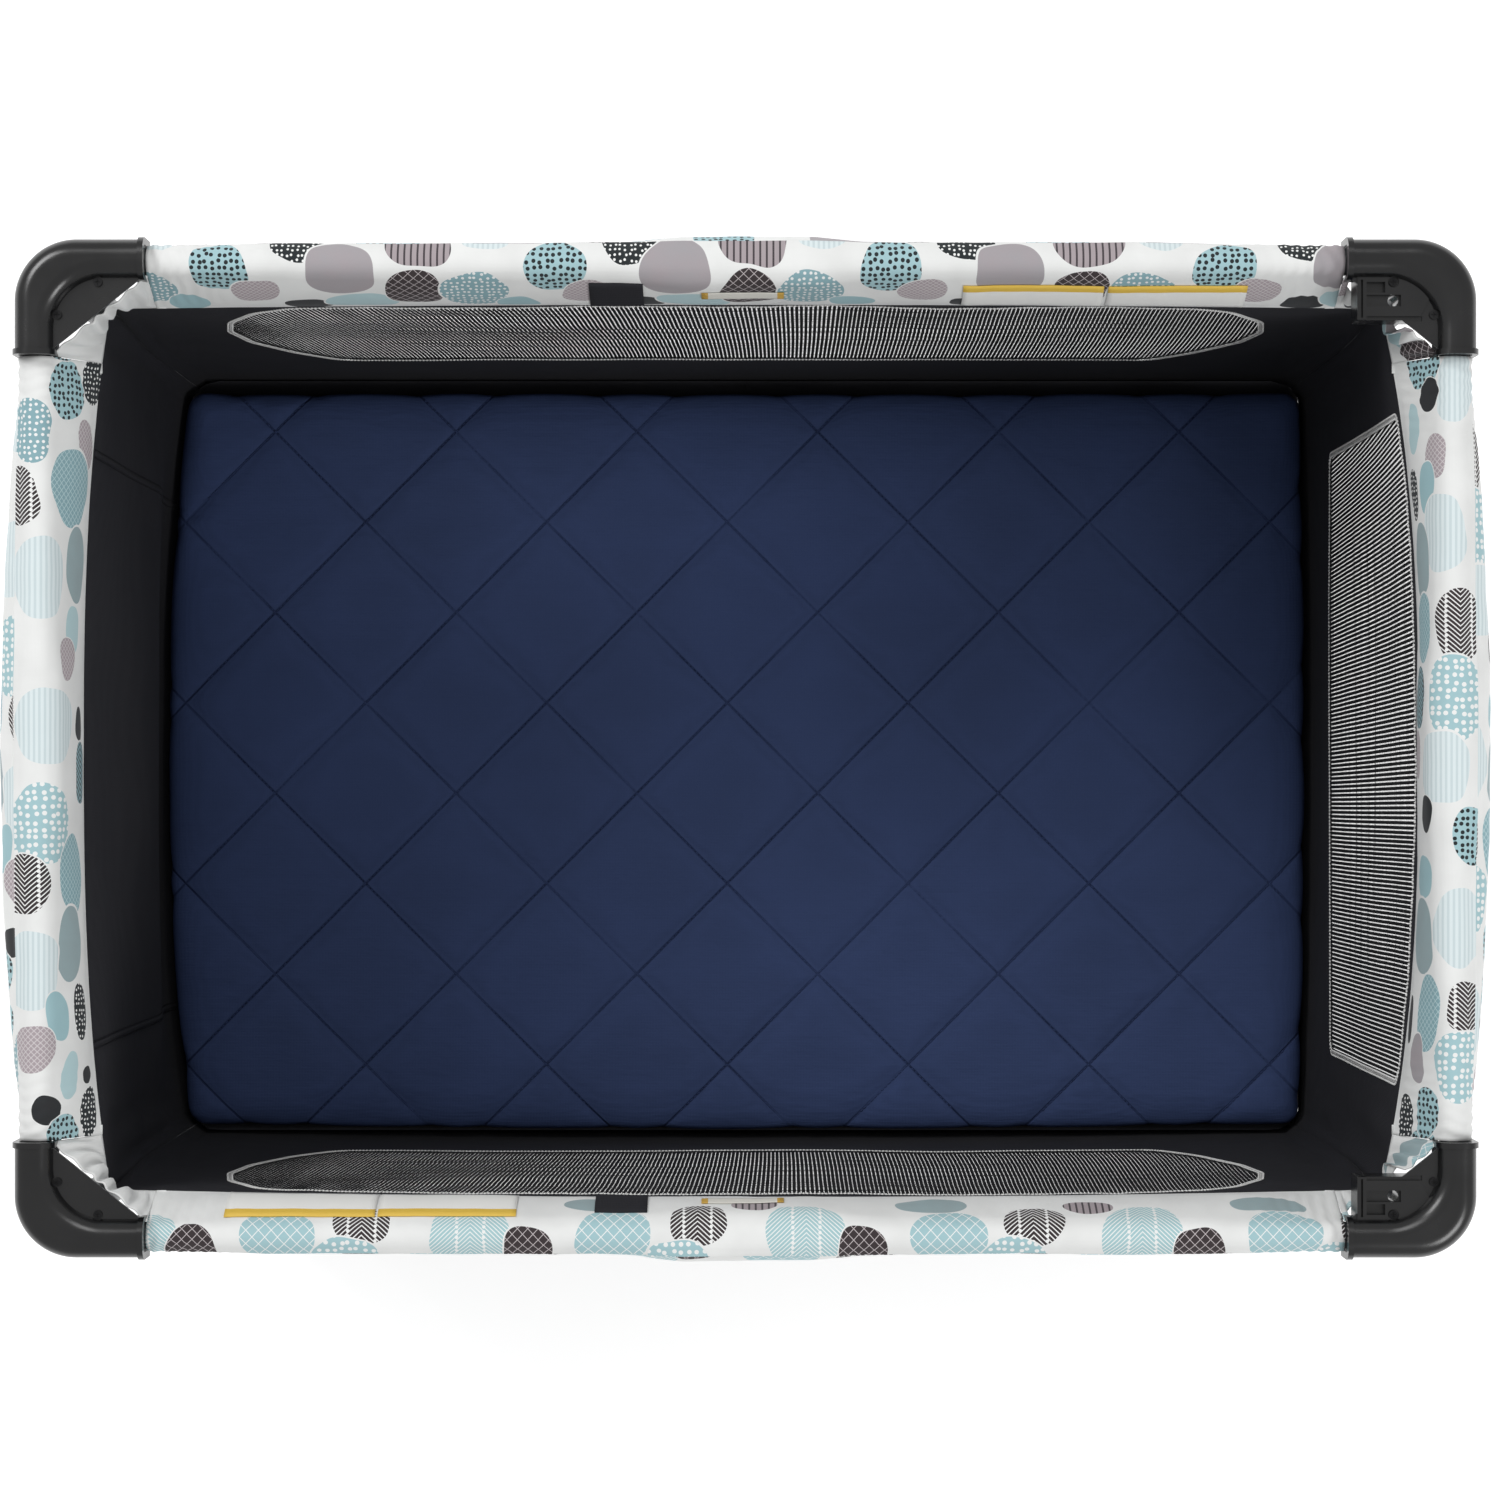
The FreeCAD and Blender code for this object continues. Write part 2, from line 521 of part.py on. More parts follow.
def make_rail_hub(side, spot):
    length, half = "hub_pivot + 14", "rail_hub_half_width"
    low, top = "rail_hub_low - rail_height", "rail_hub_top - rail_height"
    shell = box(f"hub_shell_{side}", (f"-1 * ({length})", length), (f"-1 * {half}", half), (low, top))
    eased = round_edges(f"hub_eased_{side}", shell, 4, lambda edge: edge.BoundBox.XLength > 50)
    tools = []
    for way in (-1, 1):
        near, far = ("-1 * hub_pivot - 30", "-1 * hub_core_half") if way < 0 else (
            "hub_core_half", "hub_pivot + 30")
        tools.append(box(f"hub_slot_{side}_{near[0:1]}{way + 1}", (near, far),
                         ("-1 * rail_slot_half", "rail_slot_half"), ("-1 * swing_room", "40")))
        tools.append(rod(f"hub_pin_bore_{side}_{way + 1}", "pin_radius + bore_gap / 2", "40",
                         f"{way} * hub_pivot", "-20", "0", Y_AXIS))
    pocket = box(f"latch_pocket_{side}", ("-8", "8"), ("-6", "6"), (f"{low} - 1", "7"))
    node(place(cut(f"rail_hub_{side}", eased, *tools, pocket), *spot), f"rail_hub_{side}")

    pins = [rod(f"rail_hub_pin_{side}_{way + 1}", "pin_radius", f"2 * {half}",
                f"{way} * hub_pivot", f"-1 * {half}", "0", Y_AXIS) for way in (-1, 1)]
    bolt_low = "button_travel - 3.8"
    bolt = box(f"latch_bolt_{side}", ("-7.5", "7.5"), ("-5.5", "5.5"), (bolt_low, f"{bolt_low} + 2.4"))
    leaf_base, _ = prism(f"latch_leaf_{side}", [
        ("-6", f"{bolt_low} + 2.4"), ("0", "6.4"), ("6", f"{bolt_low} + 2.4"), ("6.8", f"{bolt_low} + 2.4"),
        ("0.4", "7"), ("-0.4", "7"), ("-6.8", f"{bolt_low} + 2.4")], "0", "8", "XZ_Plane", True)
    latch = gather(f"latch_{side}", bolt, leaf_base, *pins)
    node(place(latch, *spot), f"rail_latch_{side}")

    cap_low = "button_low - rail_height"
    cap = box(f"button_cap_{side}", ("-15", "15"), ("-9", "9"), (cap_low, f"{cap_low} + 6"))
    cap_round = round_edges(f"button_cap_round_{side}", cap, 2.5,
                            lambda edge: edge.BoundBox.ZLength > 5 or edge.BoundBox.ZMax < -27.9)
    stem = box(f"button_stem_{side}", ("-6", "6"), ("-4.5", "4.5"), (f"{cap_low} + 5", "-4.4"))
    node(place(fuse(f"button_{side}", cap_round, stem), *spot), f"rail_button_{side}")


def make_rail_cover(side, spot, mouth):
    """The fabric sleeve round a rail from casting to casting."""
    reach, half = f"{mouth} - cover_end_gap", "cover_half_width"
    low, top = "cover_low - rail_height", "cover_top - rail_height"
    cloth = "cover_fabric"
    outer = box(f"cover_outer_{side}", (f"-1 * ({reach})", reach), (f"-1 * {half}", half), (low, top))
    inner = box(f"cover_inner_{side}", (f"-1 * ({reach}) - 1", f"{reach} + 1"),
                (f"-1 * {half} + {cloth}", f"{half} - {cloth}"), (f"{low} + {cloth}", f"{top} - {cloth}"))
    outer = round_edges(f"cover_outer_round_{side}", outer, 6, lambda edge: edge.BoundBox.XLength > 50)
    inner = round_edges(f"cover_inner_round_{side}", inner, 4.8, lambda edge: edge.BoundBox.XLength > 50)
    node(place(cut(f"cover_{side}", outer, inner), *spot), f"rail_cover_{side}")


# ---- fabric walls, nets and floor ---------------------------------------------------------------------
def wall_outline(along_x):
    """One wall's plan on its positive side, with its half of the chamfers at both ends."""
    lean = "wall_thickness * 0.4142"
    middle = "wall_chamfer / 2 + seam_gap"
    if along_x:
        inner = [("wall_x - wall_chamfer", "wall_y"),
                 (f"wall_x - {middle}", "wall_y - wall_chamfer / 2 + seam_gap")]
        outer = [(f"{inner[1][0]} + wall_thickness * 0.7071", f"{inner[1][1]} + wall_thickness * 0.7071"),
                 (f"wall_x - wall_chamfer + {lean}", "wall_y + wall_thickness")]
        half = inner + outer
        return half + [(f"-1 * ({x})", y) for x, y in reversed(half)]
    inner = [("wall_x", "wall_y - wall_chamfer"),
             ("wall_x - wall_chamfer / 2 + seam_gap", f"wall_y - {middle}")]
    outer = [(f"{inner[1][0]} + wall_thickness * 0.7071", f"{inner[1][1]} + wall_thickness * 0.7071"),
             ("wall_x + wall_thickness", f"wall_y - wall_chamfer + {lean}")]
    half = inner + outer
    return half + [(x, f"-1 * ({y})") for x, y in reversed(half)]


def window_outline(along_x, shrink):
    """The mesh window's outline: barrel sides on a long wall, upright ones on the short wall."""
    low = "long_window_low" if along_x else "short_window_low"
    low, top = f"{low} + {shrink}", f"long_window_top - {shrink}"
    if not along_x:
        half = f"(short_window_half - {shrink})"
        return [(f"-1 * {half}", low), (half, low), (half, top), (f"-1 * {half}", top)]
    bottom, widest = f"(long_window_bottom_half - {shrink})", f"(long_window_widest_half - {shrink})"
    shoulder_low, shoulder_top = "long_window_low + 190", "long_window_top - 110"
    right = [(bottom, low), (f"{widest} - 17", "long_window_low + 107"), (widest, shoulder_low),
             (widest, shoulder_top), (f"{widest} - 12", "long_window_top - 50"), (f"{widest} - 28", top)]
    return right + [(f"-1 * ({x})", z) for x, z in reversed(right)]


def make_wall(side, along_x, sign, has_net):
    body, _ = prism(f"wall_plan_{side}", wall_outline(along_x), "wall_low", "wall_top - wall_low")
    flip = "0" if sign > 0 else "180"
    wall = place(body, "0", "0", "0", flip)
    if not has_net:
        node(wall, f"wall_{side}")
        return
    plane = "XZ_Plane" if along_x else "YZ_Plane"
    near = f"{sign} * (wall_{'y' if along_x else 'x'} + wall_thickness / 2)"
    spot = ("0", near) if along_x else (near, "0")
    opening, _ = prism(f"window_{side}", window_outline(along_x, "0"), "0", "3 * wall_thickness",
                       plane, True)
    net, _ = prism(f"net_{side}", window_outline(along_x, "seam_gap"), "0", "net_thickness", plane, True)
    node(cut(f"wall_cut_{side}", wall, place(opening, *spot)), f"wall_{side}")
    node(place(net, *spot), f"mesh_{side}")


def make_floor_fabric():
    inset_x, inset_y, corner = "(wall_x - 1)", "(wall_y - 1)", "wall_chamfer"
    outline = []
    for sx, sy in ((1, -1), (1, 1), (-1, 1), (-1, -1)):
        near_side = (f"{sx} * {inset_x}", f"{sy} * ({inset_y} - {corner})")
        near_end = (f"{sx} * ({inset_x} - {corner})", f"{sy} * {inset_y}")
        outline += [near_side, near_end] if sx * sy > 0 else [near_end, near_side]
    cloth, _ = prism("floor_cloth", outline, "floor_low", "floor_thickness")
    slit = box("strap_slit", ("-1 * strap_half_width - 1", "strap_half_width + 1"),
               ("-1", "strap_thickness + 1"), ("floor_low - 1", "floor_low + floor_thickness + 1"))
    node(cut("floor_sheet", cloth, slit), "floor_fabric")


# ---- mattress pad ---------------------------------------------------------------------------------------
def rounded_pad(name, inset):
    half_x, half_y = f"(pad_length / 2 - {inset})", f"(pad_width / 2 - {inset})"
    outline = [(f"-1 * {half_x}", f"-1 * {half_y}"), (half_x, f"-1 * {half_y}"), (half_x, half_y),
               (f"-1 * {half_x}", half_y)]
    body, _ = prism(name, outline, f"pad_low + {inset}", f"pad_height - 2 * {inset}")
    fillet_body(body, name + "_corners", f"pad_corner - {inset}", is_upright)
    return fillet_body(body, name + "_edges", f"pad_edge - {inset}",
                       lambda edge: edge.BoundBox.ZLength < 1e-4)


def make_mattress():
    """A sewn cover round a foam slab and folding boards."""
    cover, hollow = rounded_pad("pad_outside", "0"), rounded_pad("pad_inside", "pad_cloth")
    node(cut("pad_cover", cover, hollow), "mattress_cover")
    board_low = "pad_low + pad_cloth + 0.3"
    board_top = f"({board_low} + board_thickness)"
    foam = box("foam_slab", ("board_margin - pad_length / 2", "pad_length / 2 - board_margin"),
               ("board_margin - pad_width / 2", "pad_width / 2 - board_margin"),
               (f"{board_top} + 0.2", "pad_low + pad_height - pad_cloth - 0.3"))
    node(round_edges("foam", foam, 26, is_upright), "mattress_foam")
    pitch = f"((pad_length - 2 * board_margin) / {BOARD_COUNT})"
    boards = []
    for i in range(BOARD_COUNT):
        start = f"board_margin - pad_length / 2 + {i} * {pitch}"
        boards.append(box(f"board_{i}", (f"{start} + board_gap / 2", f"{start} + {pitch} - board_gap / 2"),
                          ("20 + board_margin - pad_width / 2", "pad_width / 2 - board_margin - 20"),
                          (board_low, board_top)))
    node(gather("boards", *boards), "mattress_boards")


# ---- the document -------------------------------------------------------------------------------------
def check_document():
    """Stop if any object failed or any sub-part is empty or invalid."""
    for obj in doc.Objects:
        if {"Invalid", "Error"} & set(obj.State):
            raise RuntimeError(f"{obj.Name} ({obj.Label}) is {obj.State}")
    for solid in nodes:
        if solid.Shape.isNull() or not solid.Shape.isValid() or not solid.Shape.Solids:
            raise RuntimeError(f"{solid.Label} has no valid solid")
    labels = [solid.Label for solid in nodes]
    if len(set(labels)) != len(labels):
        raise RuntimeError("two sub-parts share a label")


def export_nodes():
    os.makedirs("parts", exist_ok=True)
    for solid in nodes:
        solid.Shape.exportStep(f"parts/{solid.Label}.step")
    whole = FreeCAD.BoundBox()
    for solid in nodes:
        whole.add(solid.Shape.BoundBox)
    print(len(nodes), "sub-parts", whole)


fill_sheet()
make_castings()
for corner, (sx, sy) in CORNERS.items():
    make_leg(corner, sx, sy)
    make_foot(corner, sx, sy)
    make_leg_fasteners(corner, sx, sy)
    make_strut(corner, sx, sy)
for corner in ("back_left", "front_left"):
    make_wheel(corner, CORNERS[corner][1])
make_floor_hub()
for side, (along_x, sign, ends) in RAILS.items():
    make_rail(side, along_x, sign, ends)
    make_wall(side, along_x, sign, side != "left")
make_floor_fabric()
make_mattress()
doc.recompute()
check_document()
export_nodes()
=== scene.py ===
"""Looks of the folding travel play yard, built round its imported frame. Lengths are metres."""
import math

import bmesh
import bpy
import numpy as np
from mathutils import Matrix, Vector, noise
from mathutils.bvhtree import BVHTree

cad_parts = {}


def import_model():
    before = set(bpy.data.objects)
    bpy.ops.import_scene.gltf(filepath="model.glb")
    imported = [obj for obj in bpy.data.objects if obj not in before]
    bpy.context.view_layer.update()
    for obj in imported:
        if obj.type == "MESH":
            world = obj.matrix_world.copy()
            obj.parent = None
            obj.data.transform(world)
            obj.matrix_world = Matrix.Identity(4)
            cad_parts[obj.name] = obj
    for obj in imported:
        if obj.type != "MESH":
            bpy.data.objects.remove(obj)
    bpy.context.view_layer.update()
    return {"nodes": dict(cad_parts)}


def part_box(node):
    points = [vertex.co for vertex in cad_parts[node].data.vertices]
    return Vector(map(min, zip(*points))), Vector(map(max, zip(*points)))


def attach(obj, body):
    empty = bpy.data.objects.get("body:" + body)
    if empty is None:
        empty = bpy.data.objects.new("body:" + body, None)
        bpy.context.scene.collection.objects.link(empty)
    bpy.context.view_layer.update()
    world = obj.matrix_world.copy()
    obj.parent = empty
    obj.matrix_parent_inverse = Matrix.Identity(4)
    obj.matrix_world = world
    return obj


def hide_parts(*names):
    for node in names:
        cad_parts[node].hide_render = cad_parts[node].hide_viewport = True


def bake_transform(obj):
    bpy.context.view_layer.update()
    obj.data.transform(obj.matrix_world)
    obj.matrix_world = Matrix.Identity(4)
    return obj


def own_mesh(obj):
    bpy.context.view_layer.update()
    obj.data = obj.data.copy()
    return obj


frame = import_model()

MM = 0.001
TAU = 2 * math.pi

# the rails: the axis they run along, the side of the yard they are on, their two halves' ends, the leg that
# carries their wall; then the tube's distance from the centre, the sleeve's half length and its belly
RAILS = {}
for name, along, sign, ends, leg in (
    ("back", 0, 1, ("left", "right"), "back_right"), ("front", 0, -1, ("left", "right"), "front_left"),
    ("left", 1, -1, ("front", "back"), "back_left"), ("right", 1, 1, ("front", "back"), "front_right"),
):
    RAILS[name] = dict(along=along, sign=sign, plane=(341.5, 496.5)[along] * MM,
                       mouth=(419.5, 274.5)[along] * MM, belly=(1.5, 15)[along] * MM,
                       halves=[f"rail_{name}_{end}" for end in ends], leg="leg_" + leg)
TUBE_HEIGHT = 706 * MM
SEAM_HEIGHT = 664 * MM
SEAM_CORNER = (453 * MM, 314 * MM)
SEAM_MIDDLE = {"back": 317 * MM, "front": 319.5 * MM, "left": 472 * MM, "right": 480 * MM}
TOP_SEAM = {0: 13 * MM, 1: 16 * MM}

# the pad's heights, and its quilting: the pitch of the lines and a point where two of them cross
PAD_LOW, PAD_HIGH = 57.5 * MM, 103.5 * MM
QUILT = 154 * MM
QUILT_START = (-400.6 * MM, 275.6 * MM)

# the walls by the axis they run along: distance from the centre, and half the straight run between the
# corner chamfers; then their foot
WALL_BASE = {0: 324 * MM, 1: 478 * MM}
CHAMFER = 7 * MM
WALL_STRAIGHT = {0: WALL_BASE[1] - 2 * CHAMFER, 1: WALL_BASE[0] - 2 * CHAMFER}
WALL_LOW = 56 * MM
# how far the pad pushes each wall out
BULGE = {"left": 23 * MM, "right": 7 * MM, "front": 6 * MM, "back": 0}
# the pad's gaps: to the back wall, to the walls at its ends, and to cloth that it presses on
BACK_GAP, END_SLACK, CLOTH_GAP = 6 * MM, 2 * MM, 0.8 * MM
# places of the two seams on the plain wall
SEAM_PLACES = (-215 * MM, 215 * MM)
# half a window's outline: place along the wall and height, millimetres
WINDOWS = {
    "back": [(330, 234), (362, 300), (388, 380), (398, 470), (392, 560), (368, 628), (338, 652)],
    "front": [(330, 256), (362, 310), (388, 390), (398, 475), (392, 560), (368, 628), (338, 652)],
    "right": [(243, 244), (243, 652)],
}
# the net's columns: their pitch, half width as a share of it, how far they lean over the window's height,
# and between which places along the wall the lean grows from nothing to that; then the cross threads' pitch
NETS = {
    "back": (3.2 * MM, 0.368, -48 * MM, (70 * MM, -340 * MM)),
    "front": (3.2 * MM, 0.39, -34 * MM, (60 * MM, -330 * MM)),
    "right": (3.4 * MM, 0.368, 30 * MM, (-60 * MM, 235 * MM)),
}
NET_CROSS = 4.2 * MM


def smooth(low, high, x):
    """0 below low, 1 above high, and an even S between them."""
    t = min(max((x - low) / (high - low), 0.0), 1.0)
    return t * t * (3 - 2 * t)


def clamp(t):
    """t held between 0 and 1."""
    return min(max(t, 0), 1)


def lerp(a, b, t):
    """The value a share t of the way from a to b."""
    return a + (b - a) * t


def wave(*at):
    """Smooth noise from about -1 to 1."""
    return noise.noise(Vector(at))


def linear(code):
    """A display colour written as hex, as the linear triple that shaders want."""
    parts = [int(code[i:i + 2], 16) / 255 for i in (0, 2, 4)]
    return tuple(c / 12.92 if c <= 0.04045 else ((c + 0.055) / 1.055) ** 2.4 for c in parts)


# ---------------------------------------------------------------- materials

class Shader:
    """A material in the making: nodes are added and linked by short calls."""

    def __init__(self, name, roughness=0.5):
        self.material = bpy.data.materials.new(name)
        self.material.use_nodes = True
        self.tree = self.material.node_tree
        self.surface = self.tree.nodes["Principled BSDF"]
        self.set("Roughness", roughness)

    def feed(self, socket, value):
        """Links the socket to another one, or sets its constant."""
        if isinstance(value, bpy.types.NodeSocket):
            self.tree.links.new(value, socket)
        else:
            if socket.type == "RGBA" and len(value) == 3:
                value = (*value, 1)
            socket.default_value = value

    def set(self, name, value):
        self.feed(self.surface.inputs[name], value)

    def node(self, kind, inputs=None, **settings):
        made = self.tree.nodes.new("ShaderNode" + kind)
        for key, value in settings.items():
            setattr(made, key, value)
        for key, value in (inputs or {}).items():
            self.feed(made.inputs[key], value)
        return made

    def math(self, operation, *values):
        made = self.node("Math", operation=operation)
        for socket, value in zip(made.inputs, values):
            self.feed(socket, value)
        return made.outputs[0]

    def mix(self, factor, a, b):
        made = self.node("Mix", {0: factor, 6: a, 7: b}, data_type="RGBA")
        return made.outputs[2]

    def place(self):
        return self.node("TexCoord").outputs["Object"]

    def stretched(self, vector, scale):
        return self.node("VectorMath", {0: vector, 1: scale}, operation="MULTIPLY").outputs[0]

    def noise(self, vector, scale, detail=2.0):
        made = self.node("TexNoise", {"Vector": vector, "Scale": scale, "Detail": detail})
        return made.outputs["Fac"]

    def split(self, vector):
        return self.node("SeparateXYZ", {0: vector}).outputs[:]

    def ramp(self, value, low, high):
        """The value's run from low to high, as 0 to 1."""
        made = self.node("MapRange", {0: value, 1: low, 2: high})
        return made.outputs[0]

    def bump(self, height, distance, strength=1.0):
        """Adds relief over what is there."""
        made = self.node("Bump", {"Height": height, "Distance": distance, "Strength": strength})
        below = self.surface.inputs["Normal"]
        if below.is_linked:
            self.tree.links.new(below.links[0].from_socket, made.inputs["Normal"])
        self.tree.links.new(made.outputs[0], below)

    def weave(self, vector, pitch):
        """Crossing threads, as a height from 0 to 1, whichever way the surface faces."""
        waves = [self.math("SINE", self.math("MULTIPLY", axis, TAU / pitch))
                 for axis in self.split(vector)]
        both = self.math("ADD", self.math("ADD", waves[0], waves[1]), waves[2])
        return self.math("MULTIPLY_ADD", both, 1 / 6, 0.5)

    def uneven(self, vector, scale, colour, other, roughness=None):
        """Cloudy shift between two near colours, and of the roughness with it."""
        cloud = self.ramp(self.noise(vector, scale, 4), 0.3, 0.7)
        self.set("Base Color", self.mix(cloud, colour, other))
        if roughness:
            self.rough(cloud, *roughness)

    def rough(self, cloud, low, high):
        """Roughness between low and high, as the cloud goes from 0 to 1."""
        self.set("Roughness", self.node("MapRange", {0: cloud, 3: low, 4: high}).outputs[0])


def plastic(name, dark, light, roughness):
    """Moulded plastic with a fine grain and a faint unevenness of the mould."""
    s = Shader(name)
    at = s.place()
    s.uneven(at, 22, dark, light, roughness)
    s.set("Specular IOR Level", 0.58)
    s.bump(s.noise(at, 2600, 3), 0.00003, 0.6)
    s.bump(s.noise(at, 60, 2), 0.0004, 0.25)
    return s


def steel(name, dark, light, roughness, metallic):
    """Steel with faint long scratches."""
    s = Shader(name)
    at = s.place()
    s.uneven(at, 14, dark, light, roughness)
    s.set("Metallic", metallic)
    s.bump(s.noise(s.stretched(at, (900, 900, 30)), 1.0, 3), 0.00004, 0.5)
    return s


def fabric(name, dark, light, pitch, sheen=0.02, fold=0.0008, tint=(1, 1, 1)):
    """Woven cloth: threads at the pitch, cloudy shade, and soft folds of the given depth."""
    s = Shader(name)
    at = s.place()
    threads = s.weave(at, pitch)
    cloud = s.ramp(s.noise(at, 7, 3), 0.3, 0.7)
    fine = s.math("MULTIPLY", s.ramp(s.noise(at, 900, 2), 0.25, 0.75), 0.2)
    shade = s.math("MULTIPLY_ADD", threads, 0.45, s.math("MULTIPLY_ADD", cloud, 0.35, fine))
    s.set("Base Color", s.mix(shade, dark, light))
    s.rough(cloud, 0.8, 0.92)
    for quality, value in (("Sheen Weight", sheen), ("Sheen Roughness", 0.45), ("Sheen Tint", tint),
                           ("Specular IOR Level", 0.12)):
        s.set(quality, value)
    s.bump(threads, 0.00022, 0.7)
    s.bump(s.noise(at, 38, 3), fold, 0.5)
    return s


def quilted_cloth():
    """The pad's navy cloth, with painted shade in the valleys of the quilting, whose lines fade in and out.
    """
    s = fabric("mattress_cloth", linear("3a486c"), linear("465682"), 1.3 * MM, 0.12, 0.0012, linear("5a6c9c"))
    at = s.place()
    s.bump(s.noise(s.stretched(at, (40, 160, 60)), 1.0, 3), 0.0012, 0.5)
    s.bump(s.noise(s.stretched(at, (14, 34, 20)), 1.0, 2), 0.003, 0.3)
    x, y, z = s.split(at)
    x, y = s.math("SUBTRACT", x, QUILT_START[0]), s.math("SUBTRACT", y, QUILT_START[1])
    valleys = []
    for way, scale, low, high in (("ADD", 11, 0.35, 0.62), ("SUBTRACT", 7, 0.42, 0.68)):
        line = s.ramp(s.math("PINGPONG", s.math(way, x, y), QUILT / 2), 0.2 * MM, 1.9 * MM)
        faint = s.math("MULTIPLY", s.ramp(s.noise(at, scale, 2), low, high), 0.85)
        valleys.append(s.math("MAXIMUM", line, faint))
    below = s.ramp(z, PAD_HIGH - 8 * MM, PAD_HIGH - 14 * MM)
    groove_and_painted_shade = s.math("MAXIMUM", s.math("MINIMUM", *valleys), below)
    s.bump(groove_and_painted_shade, 0.0009, 0.8)
    cloth = s.surface.inputs["Base Color"].links[0].from_socket
    # painted shade: the cloth is darkened to 222c4b along the quilting's valleys, where shade falls; the
    # pad's sides get none
    s.set("Base Color", s.mix(groove_and_painted_shade, linear("222c4b"), cloth))
    return s.material


def patch_cloth(name, marked, ground, mark):
    """Plain cloth with a second colour where marked says, from the patch's own place."""
    s = Shader(name, 0.6)
    u, v, _ = s.split(s.node("UVMap", uv_map="print").outputs[0])
    s.set("Base Color", s.mix(marked(s, u, v), linear(ground), linear(mark)))
    s.bump(s.weave(s.place(), 0.7 * MM), 0.0001, 0.5)
    return s.material


def label_band(s, u, v):
    """The band along a label's upper edge."""
    return s.math("GREATER_THAN", v, 0.78)


def strip_ends(s, u, v):
    """The marks at both ends of a strip."""
    return s.math("GREATER_THAN", s.math("ABSOLUTE", s.math("SUBTRACT", u, 0.5)), 0.42)


# each finish: its maker, two near colours, and what else the maker takes
FINISHES = {
    "casting_plastic": (plastic, "0d0d0e", "131314", (0.2, 0.29)),
    "foot_plastic": (plastic, "1e1e20", "29292b", (0.45, 0.58)),
    "hub_plastic": (plastic, "242426", "303032", (0.42, 0.55)),
    "button_plastic": (plastic, "b3382f", "a62f28", (0.35, 0.45)),
    "wheel_plastic": (plastic, "2b2b2d", "38383a", (0.5, 0.62)),
    "coated_steel": (steel, "3c3f42", "484b4e", (0.32, 0.45), 0.35),
    "fastener_steel": (steel, "a9abad", "c3c5c7", (0.22, 0.36), 1.0),
    "blackened_steel": (steel, "1c1c1d", "2a2a2b", (0.3, 0.45), 0.8),
    "wall_fabric": (fabric, "212125", "303034", 1.1 * MM),
    "net": (fabric, "161617", "222223", 0.8 * MM),
    "strap_webbing": (fabric, "17171a", "2c2c30", 1.6 * MM),
    "thread": (fabric, "e0e0dd", "ffffff", 0.6 * MM),
    "foam": (fabric, "cfcabb", "e3dfd2", 2.2 * MM),
    "fibreboard": (fabric, "6b4f36", "86684a", 3.0 * MM),
    "inner_thread": (fabric, "323f66", "42517c", 0.5 * MM),
}

CLOTH = linear("e3e4e3")
TEAL, DEEP_TEAL, PALE_TEAL = linear("9cbdc3"), linear("83a5ad"), linear("b2cbcf")
SLATE, BROWN, TAUPE = linear("1f2528"), linear("332b2d"), linear("a1979b")
GREY, ICE, ICE_LINE, DARK_LINE = linear("8f9da0"), linear("d3dee0"), linear("c2cfd2"), linear("423c40")

# what can fill a pebble: ground colour, mark colour, pattern, its pitch and the marks' share of it
LOOKS = {
    "teal_black_dots": (TEAL, SLATE, "dots", 4.6 * MM, 0.31),
    "teal_white_dots": (DEEP_TEAL, CLOTH, "dots", 4.2 * MM, 0.26),
    "pale_white_dots": (TEAL, CLOTH, "dots", 5.4 * MM, 0.30),
    "black_white_dots": (SLATE, CLOTH, "dots", 3.7 * MM, 0.24),
    "teal_lattice": (TEAL, CLOTH, "lattice", 6.4 * MM, 0.09),
    "fine_lattice": (DEEP_TEAL, PALE_TEAL, "lattice", 3.6 * MM, 0.16),
    "teal": (TEAL, DEEP_TEAL, "plain", 0, 0),
    "pale_teal": (PALE_TEAL, TEAL, "plain", 0, 0),
    "pale_chevron": (linear("9dbfc4"), CLOTH, "chevron", 3.0 * MM, 0.3),
    "grey": (GREY, TEAL, "plain", 0, 0),
    "taupe": (TAUPE, GREY, "plain", 0, 0),
    "taupe_hatch": (TAUPE, linear("c6bfc2"), "lattice", 3.0 * MM, 0.2),
    "taupe_stripes": (TAUPE, DARK_LINE, "stripes", 4.6 * MM, 0.3),
    "brown_hatch": (BROWN, linear("b9b1b3"), "lattice", 5.2 * MM, 0.09),
    "brown_chevron": (BROWN, CLOTH, "chevron", 3.4 * MM, 0.3),
    "slate": (SLATE, BROWN, "plain", 0, 0),
    "teal_zigzag": (DEEP_TEAL, SLATE, "chevron", 4.0 * MM, 0.4),
    "ice_stripes": (ICE, ICE_LINE, "stripes", 3.6 * MM, 0.45),
}
# the print's repeat on the long rails and on the short ones, where it covers the whole rail and is turned
LONG_PERIOD, SHORT_PERIOD = 235, 560
